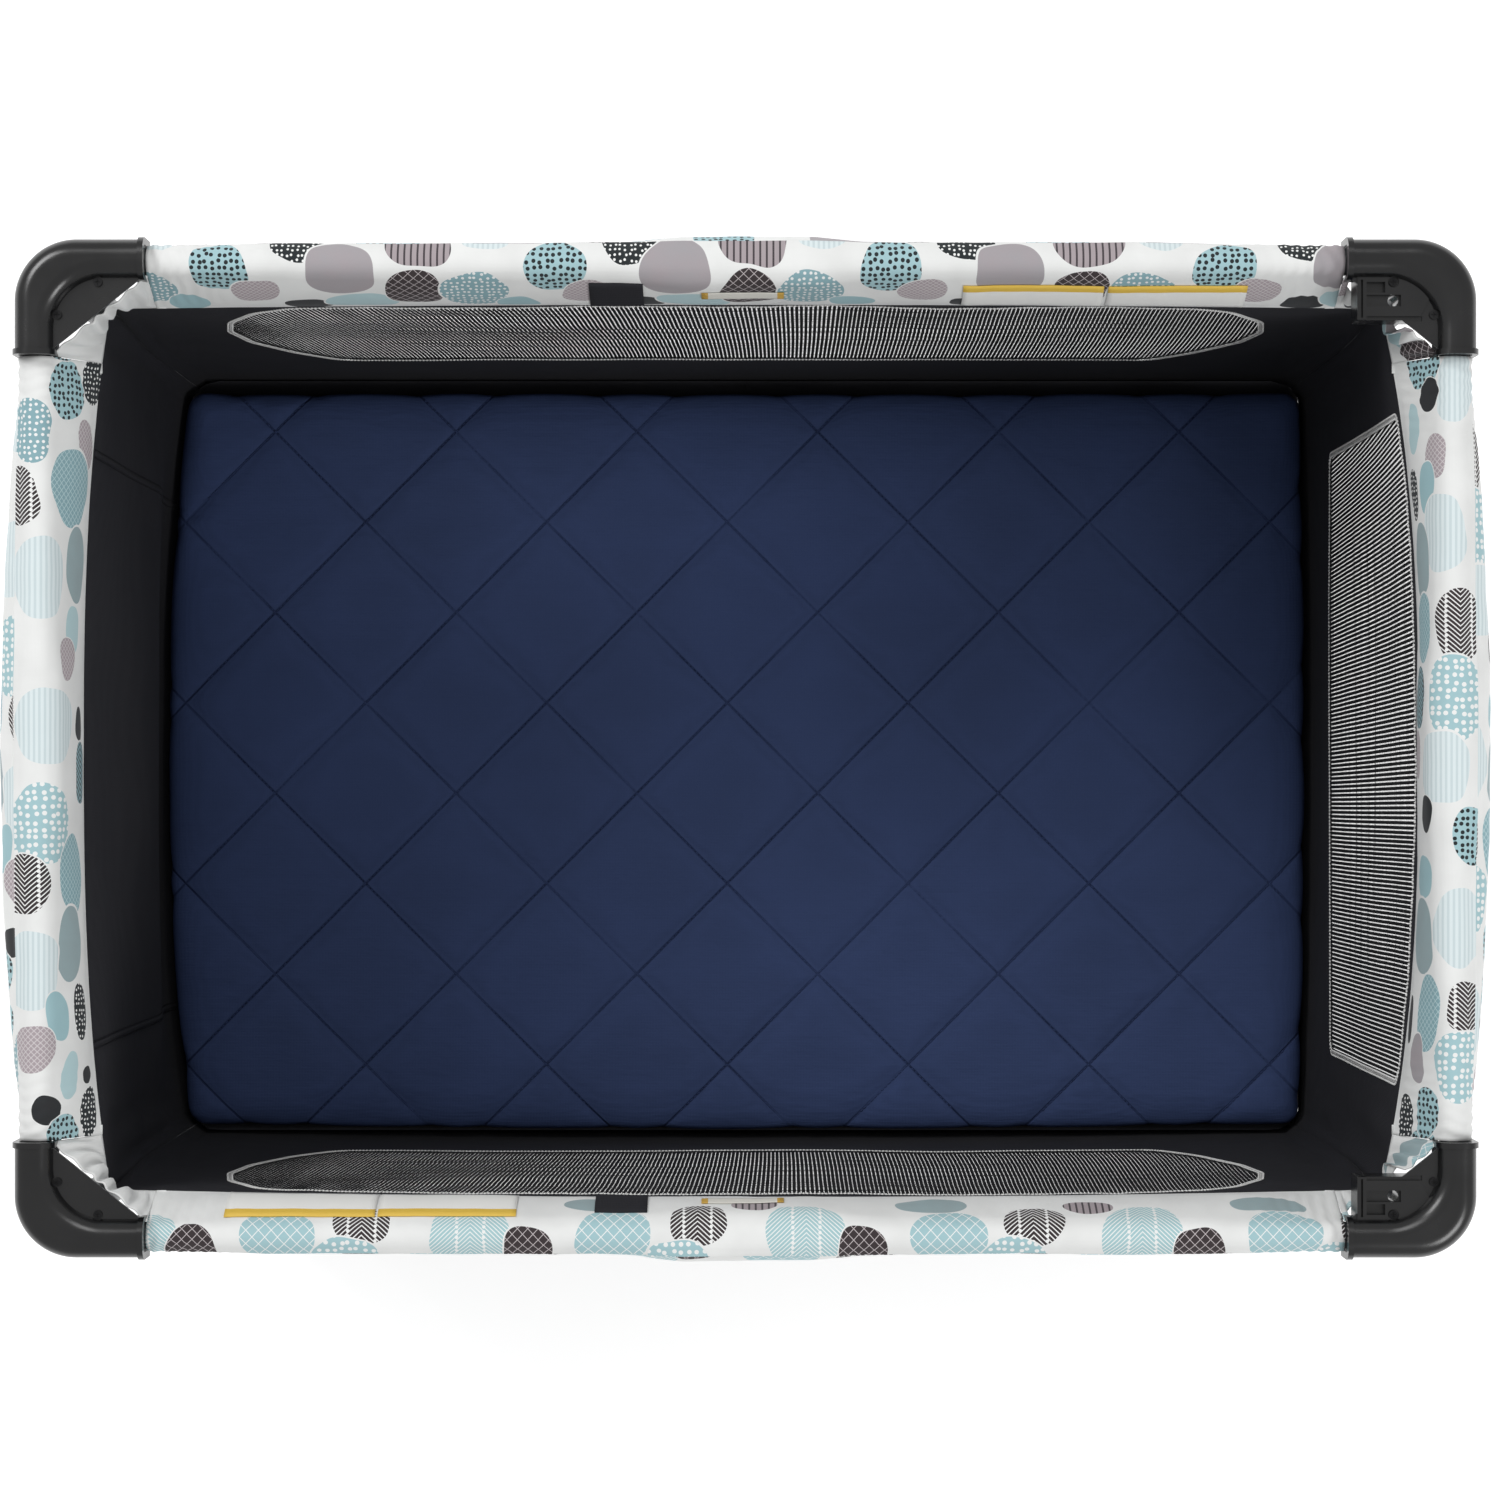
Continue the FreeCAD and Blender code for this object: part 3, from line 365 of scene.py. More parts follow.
# pebbles of the print, millimetres: place along the rail, place round it (0 on the crest, more
# towards the inside), half sizes, look
PRINTS = {
    "back": (LONG_PERIOD, [
        (19, 7, 21, 19.5, "teal_black_dots"), (74, -17, 20.5, 20, "black_white_dots"),
        (43, 31, 18, 15, "taupe_hatch"), (104, 9, 24.5, 21.5, "taupe"),
        (79, 52, 17, 11, "slate"), (118, 46, 26, 14, "pale_teal"),
        (158, -14, 24.5, 19, "taupe_stripes"), (155, 28, 20, 20.5, "brown_hatch"),
        (207, -20, 18, 12, "ice_stripes"), (198, 30, 24, 21.5, "teal_white_dots"),
        (228, 50, 15, 11, "teal"),
    ]),
    "front": (LONG_PERIOD, [
        (24, 0, 26.5, 20.5, "teal_lattice"), (83, 11, 20.5, 16, "brown_chevron"),
        (70, -20, 23, 19.5, "pale_white_dots"), (123, 29, 17, 10, "taupe_stripes"),
        (159, 0, 28, 26, "pale_chevron"), (199, -9, 17, 16.5, "brown_hatch"),
        (14, 33, 26, 12, "grey"), (222, -24, 16, 7, "taupe"),
    ]),
    "left": (SHORT_PERIOD, [
        (27, 29, 20, 18, "teal_black_dots"), (58, -4, 22, 16, "teal_white_dots"),
        (18, 59, 18, 12, "black_white_dots"), (64, 51, 18, 11, "taupe_hatch"),
        (95, 34, 27.5, 22, "fine_lattice"), (102, -12, 19, 14, "brown_chevron"),
        (160, 3, 29, 21, "ice_stripes"), (148, 42, 27, 14, "grey"),
        (195, 38, 18, 9, "pale_teal"), (215, 30, 16, 11, "taupe_hatch"),
        (263, 10, 27, 24, "ice_stripes"), (262, 47, 12, 7, "slate"),
        (296, 51, 22, 9, "teal_zigzag"), (332, 4, 28, 24, "pale_white_dots"),
        (375, -7, 21, 17, "brown_chevron"), (368, 35, 27, 16, "fine_lattice"),
        (417, 32, 27, 16, "grey"), (434, -2, 28, 20, "ice_stripes"),
        (467, 17, 17, 11, "teal"), (489, -1, 16, 14, "taupe_hatch"),
        (464, 44, 18, 9, "black_white_dots"), (509, 31, 17, 9, "pale_teal"),
        (511, 51, 7, 5, "slate"), (531, 11, 11, 11, "slate"),
        (552, 25, 15, 16, "teal_black_dots"), (537, 54, 17, 10, "black_white_dots"),
    ]),
    "right": (SHORT_PERIOD, [
        (26, 0, 25, 15, "ice_stripes"), (5, 31, 19, 18, "teal_black_dots"),
        (30, 23, 11, 9, "slate"), (52, 42, 18, 8, "pale_teal"),
        (74, 17, 17, 9, "taupe_hatch"), (95, 25, 18, 9, "teal"),
        (99, 45, 18, 7, "black_white_dots"), (128, 10, 27, 18, "ice_stripes"),
        (145, 35, 27, 12, "grey"), (193, -3, 28, 17, "brown_chevron"),
        (195, 34, 25, 12, "fine_lattice"), (243, 0, 29, 20, "pale_white_dots"),
        (245, 39, 22, 11, "teal_zigzag"), (292, 10, 26, 20, "ice_stripes"),
        (284, 46, 17, 8, "taupe_hatch"), (325, 26, 14, 9, "slate"),
        (340, -10, 22, 13, "teal_black_dots"), (370, 31, 15, 14, "teal"),
        (404, -3, 28, 18, "ice_stripes"), (412, 34, 27, 18, "grey"),
        (459, -9, 19, 14, "brown_chevron"), (466, 25, 27, 14, "fine_lattice"),
        (470, 55, 16, 5, "slate"), (496, 38, 18, 10, "taupe"),
        (503, -4, 25, 19, "pale_white_dots"), (534, 26, 19, 12, "teal_black_dots"),
        (542, 52, 18, 9, "black_white_dots"),
    ]),
}


def pebble_marks(s, look, flat, du, dv):
    """1 where a pebble's pattern puts its second colour."""
    pattern, pitch, share = look[2:]
    if pattern == "dots":
        cells = s.node("TexVoronoi", {"Vector": flat, "Scale": 1 / pitch, "Randomness": 0.42},
                       voronoi_dimensions="2D")
        return s.math("LESS_THAN", cells.outputs["Distance"], share)
    if pattern == "lattice":
        lines = [s.math("FRACT", s.math("DIVIDE", s.math(way, du, dv), pitch * 1.4))
                 for way in ("ADD", "SUBTRACT")]
        return s.math("LESS_THAN", s.math("MINIMUM", *lines), share)
    if pattern == "stripes":
        return s.math("LESS_THAN", s.math("FRACT", s.math("DIVIDE", du, pitch)), share)
    if pattern == "chevron":
        peak = s.math("MULTIPLY_ADD", s.math("ABSOLUTE", du), 0.9, dv)
        aside = s.math("SUBTRACT", s.math("ABSOLUTE", du), 9.5 * MM)
        step = s.math("PINGPONG", dv, 1.7 * MM)
        beads = s.math("LESS_THAN", s.math("ADD", s.math("MULTIPLY", aside, aside),
                                           s.math("MULTIPLY", step, step)), (1.2 * MM) ** 2)
        rows = s.math("LESS_THAN", s.math("FRACT", s.math("DIVIDE", peak, pitch)), share)
        return s.math("MAXIMUM", rows, beads)
    return s.math("MULTIPLY", s.noise(flat, 60, 3), 0.4)


def print_cloth(name, period, pebbles):
    """Off-white cloth printed with overlapping pebbles, laid out in the sleeve's own metres."""
    s = Shader(name)
    flat = s.node("UVMap", uv_map="print").outputs[0]
    shaky = s.node("TexNoise", {"Vector": flat, "Scale": 38.0, "Detail": 0.0}).outputs["Color"]
    shift = 9 * MM
    at = s.node("VectorMath", {0: shaky, 1: (shift, shift, 0), 2: flat}, operation="MULTIPLY_ADD").outputs[0]
    (u, v, _), (true_u, true_v, _) = s.split(at), s.split(flat)
    cloud = s.ramp(s.noise(flat, 25, 3), 0.3, 0.7)
    colour = ground = s.mix(cloud, CLOTH, linear("d9dad9"))

    def offset(value, centre):
        return s.math("WRAP", s.math("SUBTRACT", value, centre * MM), period * MM / 2, -period * MM / 2)

    for along, around, half_u, half_v, name_of_look in pebbles:
        look = LOOKS[name_of_look]
        du, dv = offset(u, along + 4.5), s.math("SUBTRACT", v, (around + 4.5) * MM)
        far = s.math("ADD", *(s.math("POWER", s.math("ABSOLUTE", s.math("DIVIDE", d, half * MM)), 2.3)
                              for d, half in ((du, half_u), (dv, half_v))))
        lines = [offset(true_u, along), s.math("SUBTRACT", true_v, around * MM)]
        across_rail = period == SHORT_PERIOD
        marks = pebble_marks(s, look, flat, *(lines[::-1] if across_rail else lines))
        fill = s.mix(marks, look[0], look[1])
        colour = s.mix(s.math("LESS_THAN", far, 1.14), colour, ground)
        colour = s.mix(s.math("LESS_THAN", far, 1.0), colour, fill)
    s.set("Base Color", colour)
    s.rough(cloud, 0.74, 0.86)
    s.set("Sheen Weight", 0.15)
    s.set("Specular IOR Level", 0.3)
    s.bump(s.weave(s.stretched(flat, (1, 1, 0)), 0.9 * MM), 0.00012, 0.6)
    s.bump(s.noise(s.stretched(flat, (90, 30, 0)), 1.0, 2), 0.0006, 0.35)
    return s.material


def make_materials():
    looks = {name: maker(name, linear(dark), linear(light), *rest).material
             for name, (maker, dark, light, *rest) in FINISHES.items()}
    looks["mattress_cloth"] = quilted_cloth()
    for side, (period, pebbles) in PRINTS.items():
        looks["print_" + side] = print_cloth("print_" + side, period, pebbles)
    looks["label"] = patch_cloth("label_cloth", label_band, "e9e9e6", "d9b54a")
    looks["strip"] = patch_cloth("strip_cloth", strip_ends, "dcdad2", "c9a24b")
    floor = Shader("studio_floor", 0.7)
    floor.uneven(floor.place(), 2, linear("f5f5f5"), linear("f8f8f8"))
    floor.set("Emission Color", (1, 1, 1))
    floor.set("Emission Strength", 0.42)
    looks["floor"] = floor.material
    return looks


MATERIALS = make_materials()


# ---------------------------------------------------------------- mesh helpers

def add_object(name, data):
    """Puts a mesh, lamp or camera into the scene."""
    made = bpy.data.objects.new(name, data)
    bpy.context.scene.collection.objects.link(made)
    return made


def mesh_piece(name, points, faces, material, uv=None):
    """A new object from points and faces; uv is one pair for each face corner."""
    mesh = bpy.data.meshes.new(name)
    mesh.from_pydata([tuple(p) for p in points], [], [tuple(int(i) for i in f) for f in faces])
    if uv is not None:
        layer = mesh.uv_layers.new(name="print")
        layer.data.foreach_set("uv", np.asarray(uv, np.float32).ravel())
    mesh.materials.append(MATERIALS[material])
    mesh.polygons.foreach_set("use_smooth", [True] * len(mesh.polygons))
    return add_object(name, mesh)


def face_outward(piece):
    shape = bmesh.new()
    shape.from_mesh(piece.data)
    bmesh.ops.recalc_face_normals(shape, faces=shape.faces)
    shape.to_mesh(piece.data)
    shape.free()
    return piece


def grid_faces(rows, columns, closed=False):
    """Quads over rows of points; closed joins each row's last point to its first."""
    last = columns if closed else columns - 1
    return [(r * columns + c, r * columns + (c + 1) % columns,
             (r + 1) * columns + (c + 1) % columns, (r + 1) * columns + c)
            for r in range(rows - 1) for c in range(last)]


def apply_modifiers(piece):
    """Leaves the modified shape as plain mesh."""
    graph = bpy.context.evaluated_depsgraph_get()
    mesh = bpy.data.meshes.new_from_object(piece.evaluated_get(graph))
    piece.modifiers.clear()
    piece.data = mesh
    return piece


def thicken(piece, thickness):
    made = piece.modifiers.new("thickness", "SOLIDIFY")
    made.thickness = thickness
    made.offset = 0
    return apply_modifiers(piece)


def threads(name, paths, facing, half_width, half_thickness, material):
    """Flat threads, one closed ribbon for each path of points, with their wide side to facing."""
    points, faces, count = [], [], 0
    facing = np.array(facing, float)
    for path in paths:
        path = np.array(path, float)
        run = np.gradient(path, axis=0)
        run /= np.maximum(np.linalg.norm(run, axis=1, keepdims=True), 1e-12)
        side = np.cross(run, facing)
        side /= np.maximum(np.linalg.norm(side, axis=1, keepdims=True), 1e-12)
        wide, thick = side * half_width, facing * half_thickness
        ring = np.stack([path + wide + thick, path - wide + thick,
                         path - wide - thick, path + wide - thick], axis=1)
        points.append(ring.reshape(-1, 3))
        faces += [tuple(count + i for i in f) for f in grid_faces(len(path), 4, True)]
        end = count + 4 * (len(path) - 1)
        faces += [(count + 3, count + 2, count + 1, count), (end, end + 1, end + 2, end + 3)]
        count += 4 * len(path)
    return mesh_piece(name, np.concatenate(points), faces, material)


def world(side, along, out, z):
    """A point from its place along a side, its distance from the yard's centre plane, and its height."""
    rail = RAILS[side]
    flat = (along, rail["sign"] * out)
    return Vector((*(flat if rail["along"] == 0 else flat[::-1]), z))


def outward(side):
    return world(side, 0, 1, 0)


# ---------------------------------------------------------------- rail sleeves

def seam_distance(side, along):
    """How far out the seam between sleeve and wall runs."""
    axis = RAILS[side]["along"]
    share = min(abs(along) / SEAM_CORNER[axis], 1)
    return lerp(SEAM_MIDDLE[side], SEAM_CORNER[1 - axis], share ** (2.2 + 0.4 * axis))


def hull(points):
    """Convex outline, anticlockwise."""
    points = sorted(set(points))
    chains = []
    for run in (points, points[::-1]):
        chain = []
        for p in run:
            while len(chain) > 1 and ((chain[-1][0] - chain[-2][0]) * (p[1] - chain[-2][1])
                                      <= (chain[-1][1] - chain[-2][1]) * (p[0] - chain[-2][0])):
                chain.pop()
            chain.append(p)
        chains.append(chain[:-1])
    return chains[0] + chains[1]


def sleeve_ring(side, along):
    """The sleeve's section: rows of (out, z, normal out, normal z, v), from the inner seam up, over the
    tube and back under it. v is the girth from the crest, positive towards the inside."""
    rail = RAILS[side]
    share = min(abs(along) / rail["mouth"], 1)
    over_hub = 1 - smooth(40 * MM, 95 * MM, abs(along))
    plane = rail["plane"]
    radius = lerp(12.4 * MM, (10.6 if rail["along"] == 0 else 12.2) * MM, smooth(0.6, 0.97, share))
    belly = rail["belly"] * (1 - share ** 2)
    seam_z = SEAM_HEIGHT + 1.6 * MM * wave(along * 26, rail["sign"] * 3 + rail["along"], 0)
    circles = [
        (plane, TUBE_HEIGHT, radius),
        (plane + 1.5 * MM + belly, 699 * MM, 10 * MM),
        (plane + 3.5 * MM + belly * 0.7, 684 * MM, 7.5 * MM),
        (seam_distance(side, along), seam_z, 0.5 * MM),
    ]
    for out, z, bend_radius in ((-2.4, 707.3, 14.2), (2.4, 707.3, 14.2), (-7, 696, 8.5), (7, 696, 8.5)):
        circles.append((plane + out * MM * over_hub, lerp(TUBE_HEIGHT, z * MM, over_hub),
                        lerp(radius, bend_radius * MM, over_hub)))
    turns = [TAU * i / 40 for i in range(40)]
    outline = hull([(round(c + r * math.cos(t), 7), round(z + r * math.sin(t), 7))
                    for c, z, r in circles for t in turns])
    outline = np.array(outline[:1] + outline[:0:-1] + outline[:1])
    gaps = np.hypot(*np.diff(outline, axis=0).T)
    arc = np.concatenate([[0], np.cumsum(gaps)])
    first = int(np.argmax(outline[:, 0] >= plane))
    t = (plane - outline[first - 1, 0]) / (outline[first, 0] - outline[first - 1, 0])
    crest = lerp(arc[first - 1], arc[first], t)
    seam = crest + TOP_SEAM[rail["along"]]
    at = np.concatenate([
        np.linspace(0, crest, 30, endpoint=False), np.linspace(crest, seam, 7),
        seam + np.array([0.7, 1.5, 2.6]) * MM, np.linspace(seam + 5 * MM, arc[-1], 18)])
    out, z = np.interp(at, arc, outline[:, 0]), np.interp(at, arc, outline[:, 1])
    run = np.gradient(np.stack([out, z], 1), axis=0)
    run /= np.maximum(np.linalg.norm(run, axis=1, keepdims=True), 1e-9)
    normal = np.stack([-run[:, 1], run[:, 0]], 1)
    ripple = smooth(0.8, 1.0, share) if rail["along"] == 0 else smooth(0.7, 1.0, share)
    lift = np.zeros(len(at))
    for i, a in enumerate(at):
        slack = smooth(0, 12 * MM, a) * smooth(0, 12 * MM, arc[-1] - a)
        soft = 1.1 * MM * (1 + wave(along * 13, a * 22, rail["sign"] + 2 * rail["along"]))
        small = 0.45 * MM * wave(along * 60, a * 35, 7)
        gather = 0.55 * MM * math.sin(along / (9 * MM) * TAU + 3 * wave(a * 60, 1, 2)) * ripple
        lift[i] = slack * (soft * (1 - 0.7 * ripple) + small + gather)
        lift[i] += 3 * MM * math.sin(math.pi * clamp(a / (crest * 0.82))) * (1 - smooth(0.86, 1, share))
        lift[i] += 0.9 * MM * math.exp(-((a - seam - 0.3 * MM) / (1.1 * MM)) ** 2)
    out, z = out + normal[:, 0] * lift, z + normal[:, 1] * lift
    return np.stack([out, z, normal[:, 0], normal[:, 1], crest - at], 1), TOP_SEAM[rail["along"]]


PRINT_START = {"back": (1, 388), "front": (1, 116.5), "left": (-1, 279), "right": (-1, 279)}


def print_place(side, along, v, seam):
    """Where a point of the sleeve lies on its cloth: the outer panel is cut from another stretch of it."""
    way, start = PRINT_START[side]
    u = way * along + start * MM
    return (u, v) if v >= -seam - 1e-6 else (u + 0.117, -v - seam + 4 * MM)


def sleeve_spot(side, along, v, proud=0.0):
    """A point on the sleeve's inner slope, proud of it by a little."""
    ring, _ = sleeve_ring(side, along)
    order = np.argsort(ring[:, 4])
    out, z, n_out, n_z = (np.interp(v, ring[order, 4], ring[order, k]) for k in range(4))
    return world(side, along, out + n_out * proud, z + n_z * proud)


def sleeve_on(body):
    return body.replace("rail_", "sleeve_")


def make_sleeve(side, half):
    """Half of a rail's printed sleeve, from the hub's middle to the casting's mouth."""
    rail = RAILS[side]
    body = rail["halves"][0 if half < 0 else 1]
    mouth = rail["mouth"]
    stations = list(np.arange(0, mouth - 64 * MM, 5.5 * MM)) + list(np.linspace(mouth - 64 * MM, mouth, 30))
    rows, places, girths = [], [], []
    for a in stations:
        ring, seam = sleeve_ring(side, half * a)
        rows.append([world(side, half * a, p[0], p[1]) for p in ring])
        places.append([(half * a, p[4]) for p in ring])
        girths.append(ring[0, 4] - ring[-1, 4])
    ring, seam = sleeve_ring(side, half * mouth)
    for inset, back in ((0.9, 0.0), (1.4, 7.0)):
        rows.append([world(side, half * (mouth - back * MM), p[0] - p[2] * inset * MM,
                           p[1] - p[3] * inset * MM) for p in ring])
        places.append([(half * (mouth - back * MM), p[4]) for p in ring])
    columns = len(rows[0])
    faces = grid_faces(len(rows), columns)
    places = [p for row in places for p in row]
    uv = []
    for f in faces:
        outer = max(places[i][1] for i in f) <= -seam + 1e-6
        for i in f:
            along, v = places[i]
            uv.append(print_place(side, along, v - 2e-6 if outer else max(v, -seam), seam))
    piece = mesh_piece(sleeve_on(body), [p for row in rows for p in row], faces, "print_" + side, uv)
    face_outward(piece)
    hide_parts("rail_cover_" + side)
    bend(piece)
    return piece


def bend(piece):
    """Bakes the piece's placement into its mesh; the piece is not tied to its tube or the hub."""
    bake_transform(piece)


def sleeve_patch(name, side, span, rise, material, proud=0.8 * MM, thickness=0.5 * MM):
    """A flat patch sewn on the inner slope: span along the rail, rise over the girth, millimetres."""
    columns = max(3, int((span[1] - span[0]) / 4))
    lines = 9
    points = [sleeve_spot(side, lerp(span[0], span[1], c / (columns - 1)) * MM,
                          lerp(rise[0], rise[1], r / (lines - 1)) * MM, proud)
              for r in range(lines) for c in range(columns)]
    faces = grid_faces(lines, columns)
    uv = [((i % columns) / (columns - 1), 1 - (i // columns) / (lines - 1)) for f in faces for i in f]
    piece = thicken(mesh_piece(name, points, faces, material, uv), thickness)
    middle = sum(span) / 2
    if abs(middle) < 40:
        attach(piece, "rail_hub_" + side)
    else:
        bend(piece)
    return piece


# ---------------------------------------------------------------- corner gussets

def make_gusset(corner, sx, sy):
    """The print cloth bunched under a casting's web, from one sleeve's end to the other's."""
    long_side, short_side = ("back" if sy > 0 else "front"), ("right" if sx > 0 else "left")
    with_socket = sx > 0
    long_mouth, short_mouth = RAILS["back"]["mouth"], RAILS["left"]["mouth"]
    columns, lines, split = 64, 22, 28
    low_start = (long_mouth, seam_distance(long_side, long_mouth))
    low_end = (seam_distance(short_side, short_mouth), short_mouth)
    high_start, high_end = (long_mouth, 331 * MM), (487 * MM, short_mouth + 1 * MM)
    points, uv_at = [], []
    for r in range(lines):
        k = r / (lines - 1)
        for c in range(columns):
            t = c / (columns - 1)
            high = [lerp(high_start[i], high_end[i], t) for i in (0, 1)]
            if c <= split:
                low = [lerp(low_start[i], SEAM_CORNER[i], c / split) for i in (0, 1)]
            else:
                low = [lerp(SEAM_CORNER[i], low_end[i], (c - split) / (columns - 1 - split)) for i in (0, 1)]
            top = 711.5 * MM
            if with_socket and high[0] > 423 * MM and 296 * MM < high[1] < 333 * MM:
                top = 686 * MM
            at_ends = math.sin(math.pi * t)
            fold = math.sin(c * 0.62 + 2.5 * wave(t * 4, k * 1.5, sx)) * 3.4 * MM * at_ends ** 0.6
            fold *= math.sin(math.pi * min(k * 0.9 + 0.1, 1))
            x, y = lerp(high[0], low[0], k) + fold * 0.65, lerp(high[1], low[1], k) + fold * 0.75
            sag = -5 * MM * math.sin(math.pi * k) * at_ends
            points.append(Vector((sx * (x + sag * 0.6), sy * (y + sag * 0.6), lerp(top, SEAM_HEIGHT, k))))
            uv_at.append((t * 0.11 + (0.05 if sy > 0 else 0.16),
                          (12 if with_socket else 86) * MM + k * 52 * MM))
    faces = grid_faces(lines, columns)
    piece = mesh_piece("gusset_" + corner, points, faces, "print_" + long_side,
                       [uv_at[i] for f in faces for i in f])
    thicken(piece, 0.8 * MM)
    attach(piece, "leg_" + corner)
    return piece


# ---------------------------------------------------------------- walls

def wall_reach(side):
    """Half the wall's width along its run, to the middle of the corner chamfer."""
    return WALL_STRAIGHT[RAILS[side]["along"]] + CHAMFER * math.sqrt(2)


def bulge(side, along, z):
    """How far the pad pushes a wall out at a place along it and a height; nothing at the floor seam."""
    share = clamp(abs(along) / WALL_BASE[1 - RAILS[side]["along"]])
    return BULGE[side] * (1 - share ** 2.5) * smooth(58 * MM, 92 * MM, z) * (1 - smooth(0.112, 0.27, z))


def wall_point(side, p, z, proud=0.0):
    """The wall's surface at a place along its run and a height: straight below, drawn in above."""
    axis = RAILS[side]["along"]
    straight, base, reach = WALL_STRAIGHT[axis], WALL_BASE[axis], wall_reach(side)
    past = max(abs(p) - straight, 0) / math.sqrt(2)
    low_along, low_out = math.copysign(min(abs(p), straight) + past, p), base - past
    high_along = p * SEAM_CORNER[axis] / reach
    high_out = seam_distance(side, high_along)
    k = smooth(0.30, 0.75, z)
    k = min(k / smooth(0.30, 0.75, SEAM_HEIGHT), 1)
    seed = RAILS[side]["sign"] * 5 + axis * 11
    loose = smooth(0.12, 0.22, z) * (1 - smooth(0.652, SEAM_HEIGHT, z))
    ripple = 1.6 * MM * wave(p * 9, z * 5, seed)
    ripple += 0.8 * MM * wave(p * 38, z * 11, seed) * smooth(0.5, 0.64, z)
    fold = 3.2 * MM * wave(p * 45, z * 3.5, seed + 3) * smooth(reach - 75 * MM, reach - 8 * MM, abs(p))
    fold *= 1 - smooth(reach - 8 * MM, reach, abs(p))
    out = lerp(low_out, high_out, k) + bulge(side, low_along, z) + loose * (ripple + fold) + proud
    return world(side, lerp(low_along, high_along, k), out, z)


def window_outline(side):
    """The window's edge as an even loop of (place, height), with rounded corners."""
    loop = [(x * MM, z * MM) for x, z in WINDOWS[side]]
    loop += [(-x, z) for x, z in loop[::-1]]
    dense = []
    for (x0, z0), (x1, z1) in zip(loop, loop[1:] + loop[:1]):
        steps = max(2, int(math.hypot(x1 - x0, z1 - z0) / (26 * MM)))
        dense += [(lerp(x0, x1, i / steps), lerp(z0, z1, i / steps)) for i in range(steps)]
    for _ in range(3):
        dense = [(lerp(a[0], b[0], t), lerp(a[1], b[1], t))
                 for a, b in zip(dense, dense[1:] + dense[:1]) for t in (0.25, 0.75)]
    return np.array(dense)


def even_loop(loop, count):
    closed = np.vstack([loop, loop[:1]])
    arc = np.concatenate([[0], np.cumsum(np.hypot(*np.diff(closed, axis=0).T))])
    at = np.linspace(0, arc[-1], count, endpoint=False)
    return np.stack([np.interp(at, arc, closed[:, 0]), np.interp(at, arc, closed[:, 1])], 1)


def squash_with_leg(piece, side):
    """The cloth is carried by the leg that holds its wall, on a mesh of its own."""
    rail = RAILS[side]
    leg = rail["leg"]
    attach(piece, leg)
    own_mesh(piece)


def make_wall(side):
    """A black cloth wall, open at its window where it has one."""
    reach = wall_reach(side)
    low, high = WALL_LOW, SEAM_HEIGHT
    if side == "left":
        columns, lines = 150, 60
        points = [wall_point(side, lerp(-reach, reach, c / (columns - 1)), lerp(low, high, r / (lines - 1)))
                  for r in range(lines) for c in range(columns)]
        faces = grid_faces(lines, columns)
    else:
        loop = even_loop(window_outline(side), 480)
        middle_z = (loop[:, 1].min() + loop[:, 1].max()) / 2
        columns, lines = len(loop), 16
        half_w, half_h = loop[:, 0].max(), (loop[:, 1].max() - loop[:, 1].min()) / 2
        rim = []
        for p, z in loop:
            dx, dz = p / half_w, (z - middle_z) / half_h
            scale = 1 / max(abs(dx), abs(dz))
            rim.append((dx * scale * reach, (high if dz > 0 else low) if abs(dz) >= abs(dx)
                        else lerp(low, high, (dz * scale + 1) / 2)))
        points = []
        for r in range(lines):
            k = (r / (lines - 1)) ** 1.3
            points += [wall_point(side, lerp(a[0], b[0], k), lerp(a[1], b[1], k)) for a, b in zip(loop, rim)]
        faces = grid_faces(lines, columns, True)
    piece = mesh_piece("wall_cloth_" + side, points, faces, "wall_fabric")
    thicken(piece, 1.2 * MM)
    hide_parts("wall_" + side)
    squash_with_leg(piece, side)
    return piece


def make_net(side):
    """Open net in the window: columns of threads that lean a little, tied by finer cross threads."""
    loop = window_outline(side)
    right = loop[loop[:, 0] > 0]
    order = np.argsort(right[:, 1])
    heights, halves = right[order, 1], right[order, 0]
    low, high, widest = heights[0] + 1 * MM, heights[-1] - 1 * MM, halves.max()
    pitch, share, most, (none_at, full_at) = NETS[side]
    cross = NET_CROSS
    paths = []

    def leaning(p, z):
        share = (z - low) / (high - low)
        return p + most * clamp((p - none_at) / (full_at - none_at)) * share ** 1.2

    def cloth_point(p, z):
        pull = 1.1 * MM * wave(p * 4, z * 55, 3 + most) + 0.3 * MM * wave(p * 10, z * 120, 9)
        return wall_point(side, p, z, pull * (1 - smooth(0.6 * widest, 0.85 * widest, abs(p))))

    for i in range(-int((widest + 50 * MM) / pitch), int((widest + 50 * MM) / pitch) + 1):
        inside = [z for z in np.linspace(low, high, 66)
                  if abs(leaning(i * pitch, z)) < np.interp(z, heights, halves) - 0.2 * MM]
        if len(inside) > 2:
            run = np.linspace(inside[0], inside[-1], max(3, int((inside[-1] - inside[0]) / (18 * MM))))
            paths.append([cloth_point(leaning(i * pitch, z), z) for z in run])
    upright = threads("net_" + side, paths, outward(side), share * pitch, 0.12 * MM, "net")
    paths = []
    for z in np.arange(low + cross / 2, high, cross):
        half = np.interp(z, heights, halves) - 0.2 * MM
        paths.append([cloth_point(p, z) for p in np.linspace(-half, half, 46)])
    level = threads("net_cross_" + side, paths, outward(side), 0.35 * MM, 0.05 * MM, "net")
    for piece in (upright, level):
        squash_with_leg(piece, side)
    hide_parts("mesh_" + side)
    return upright


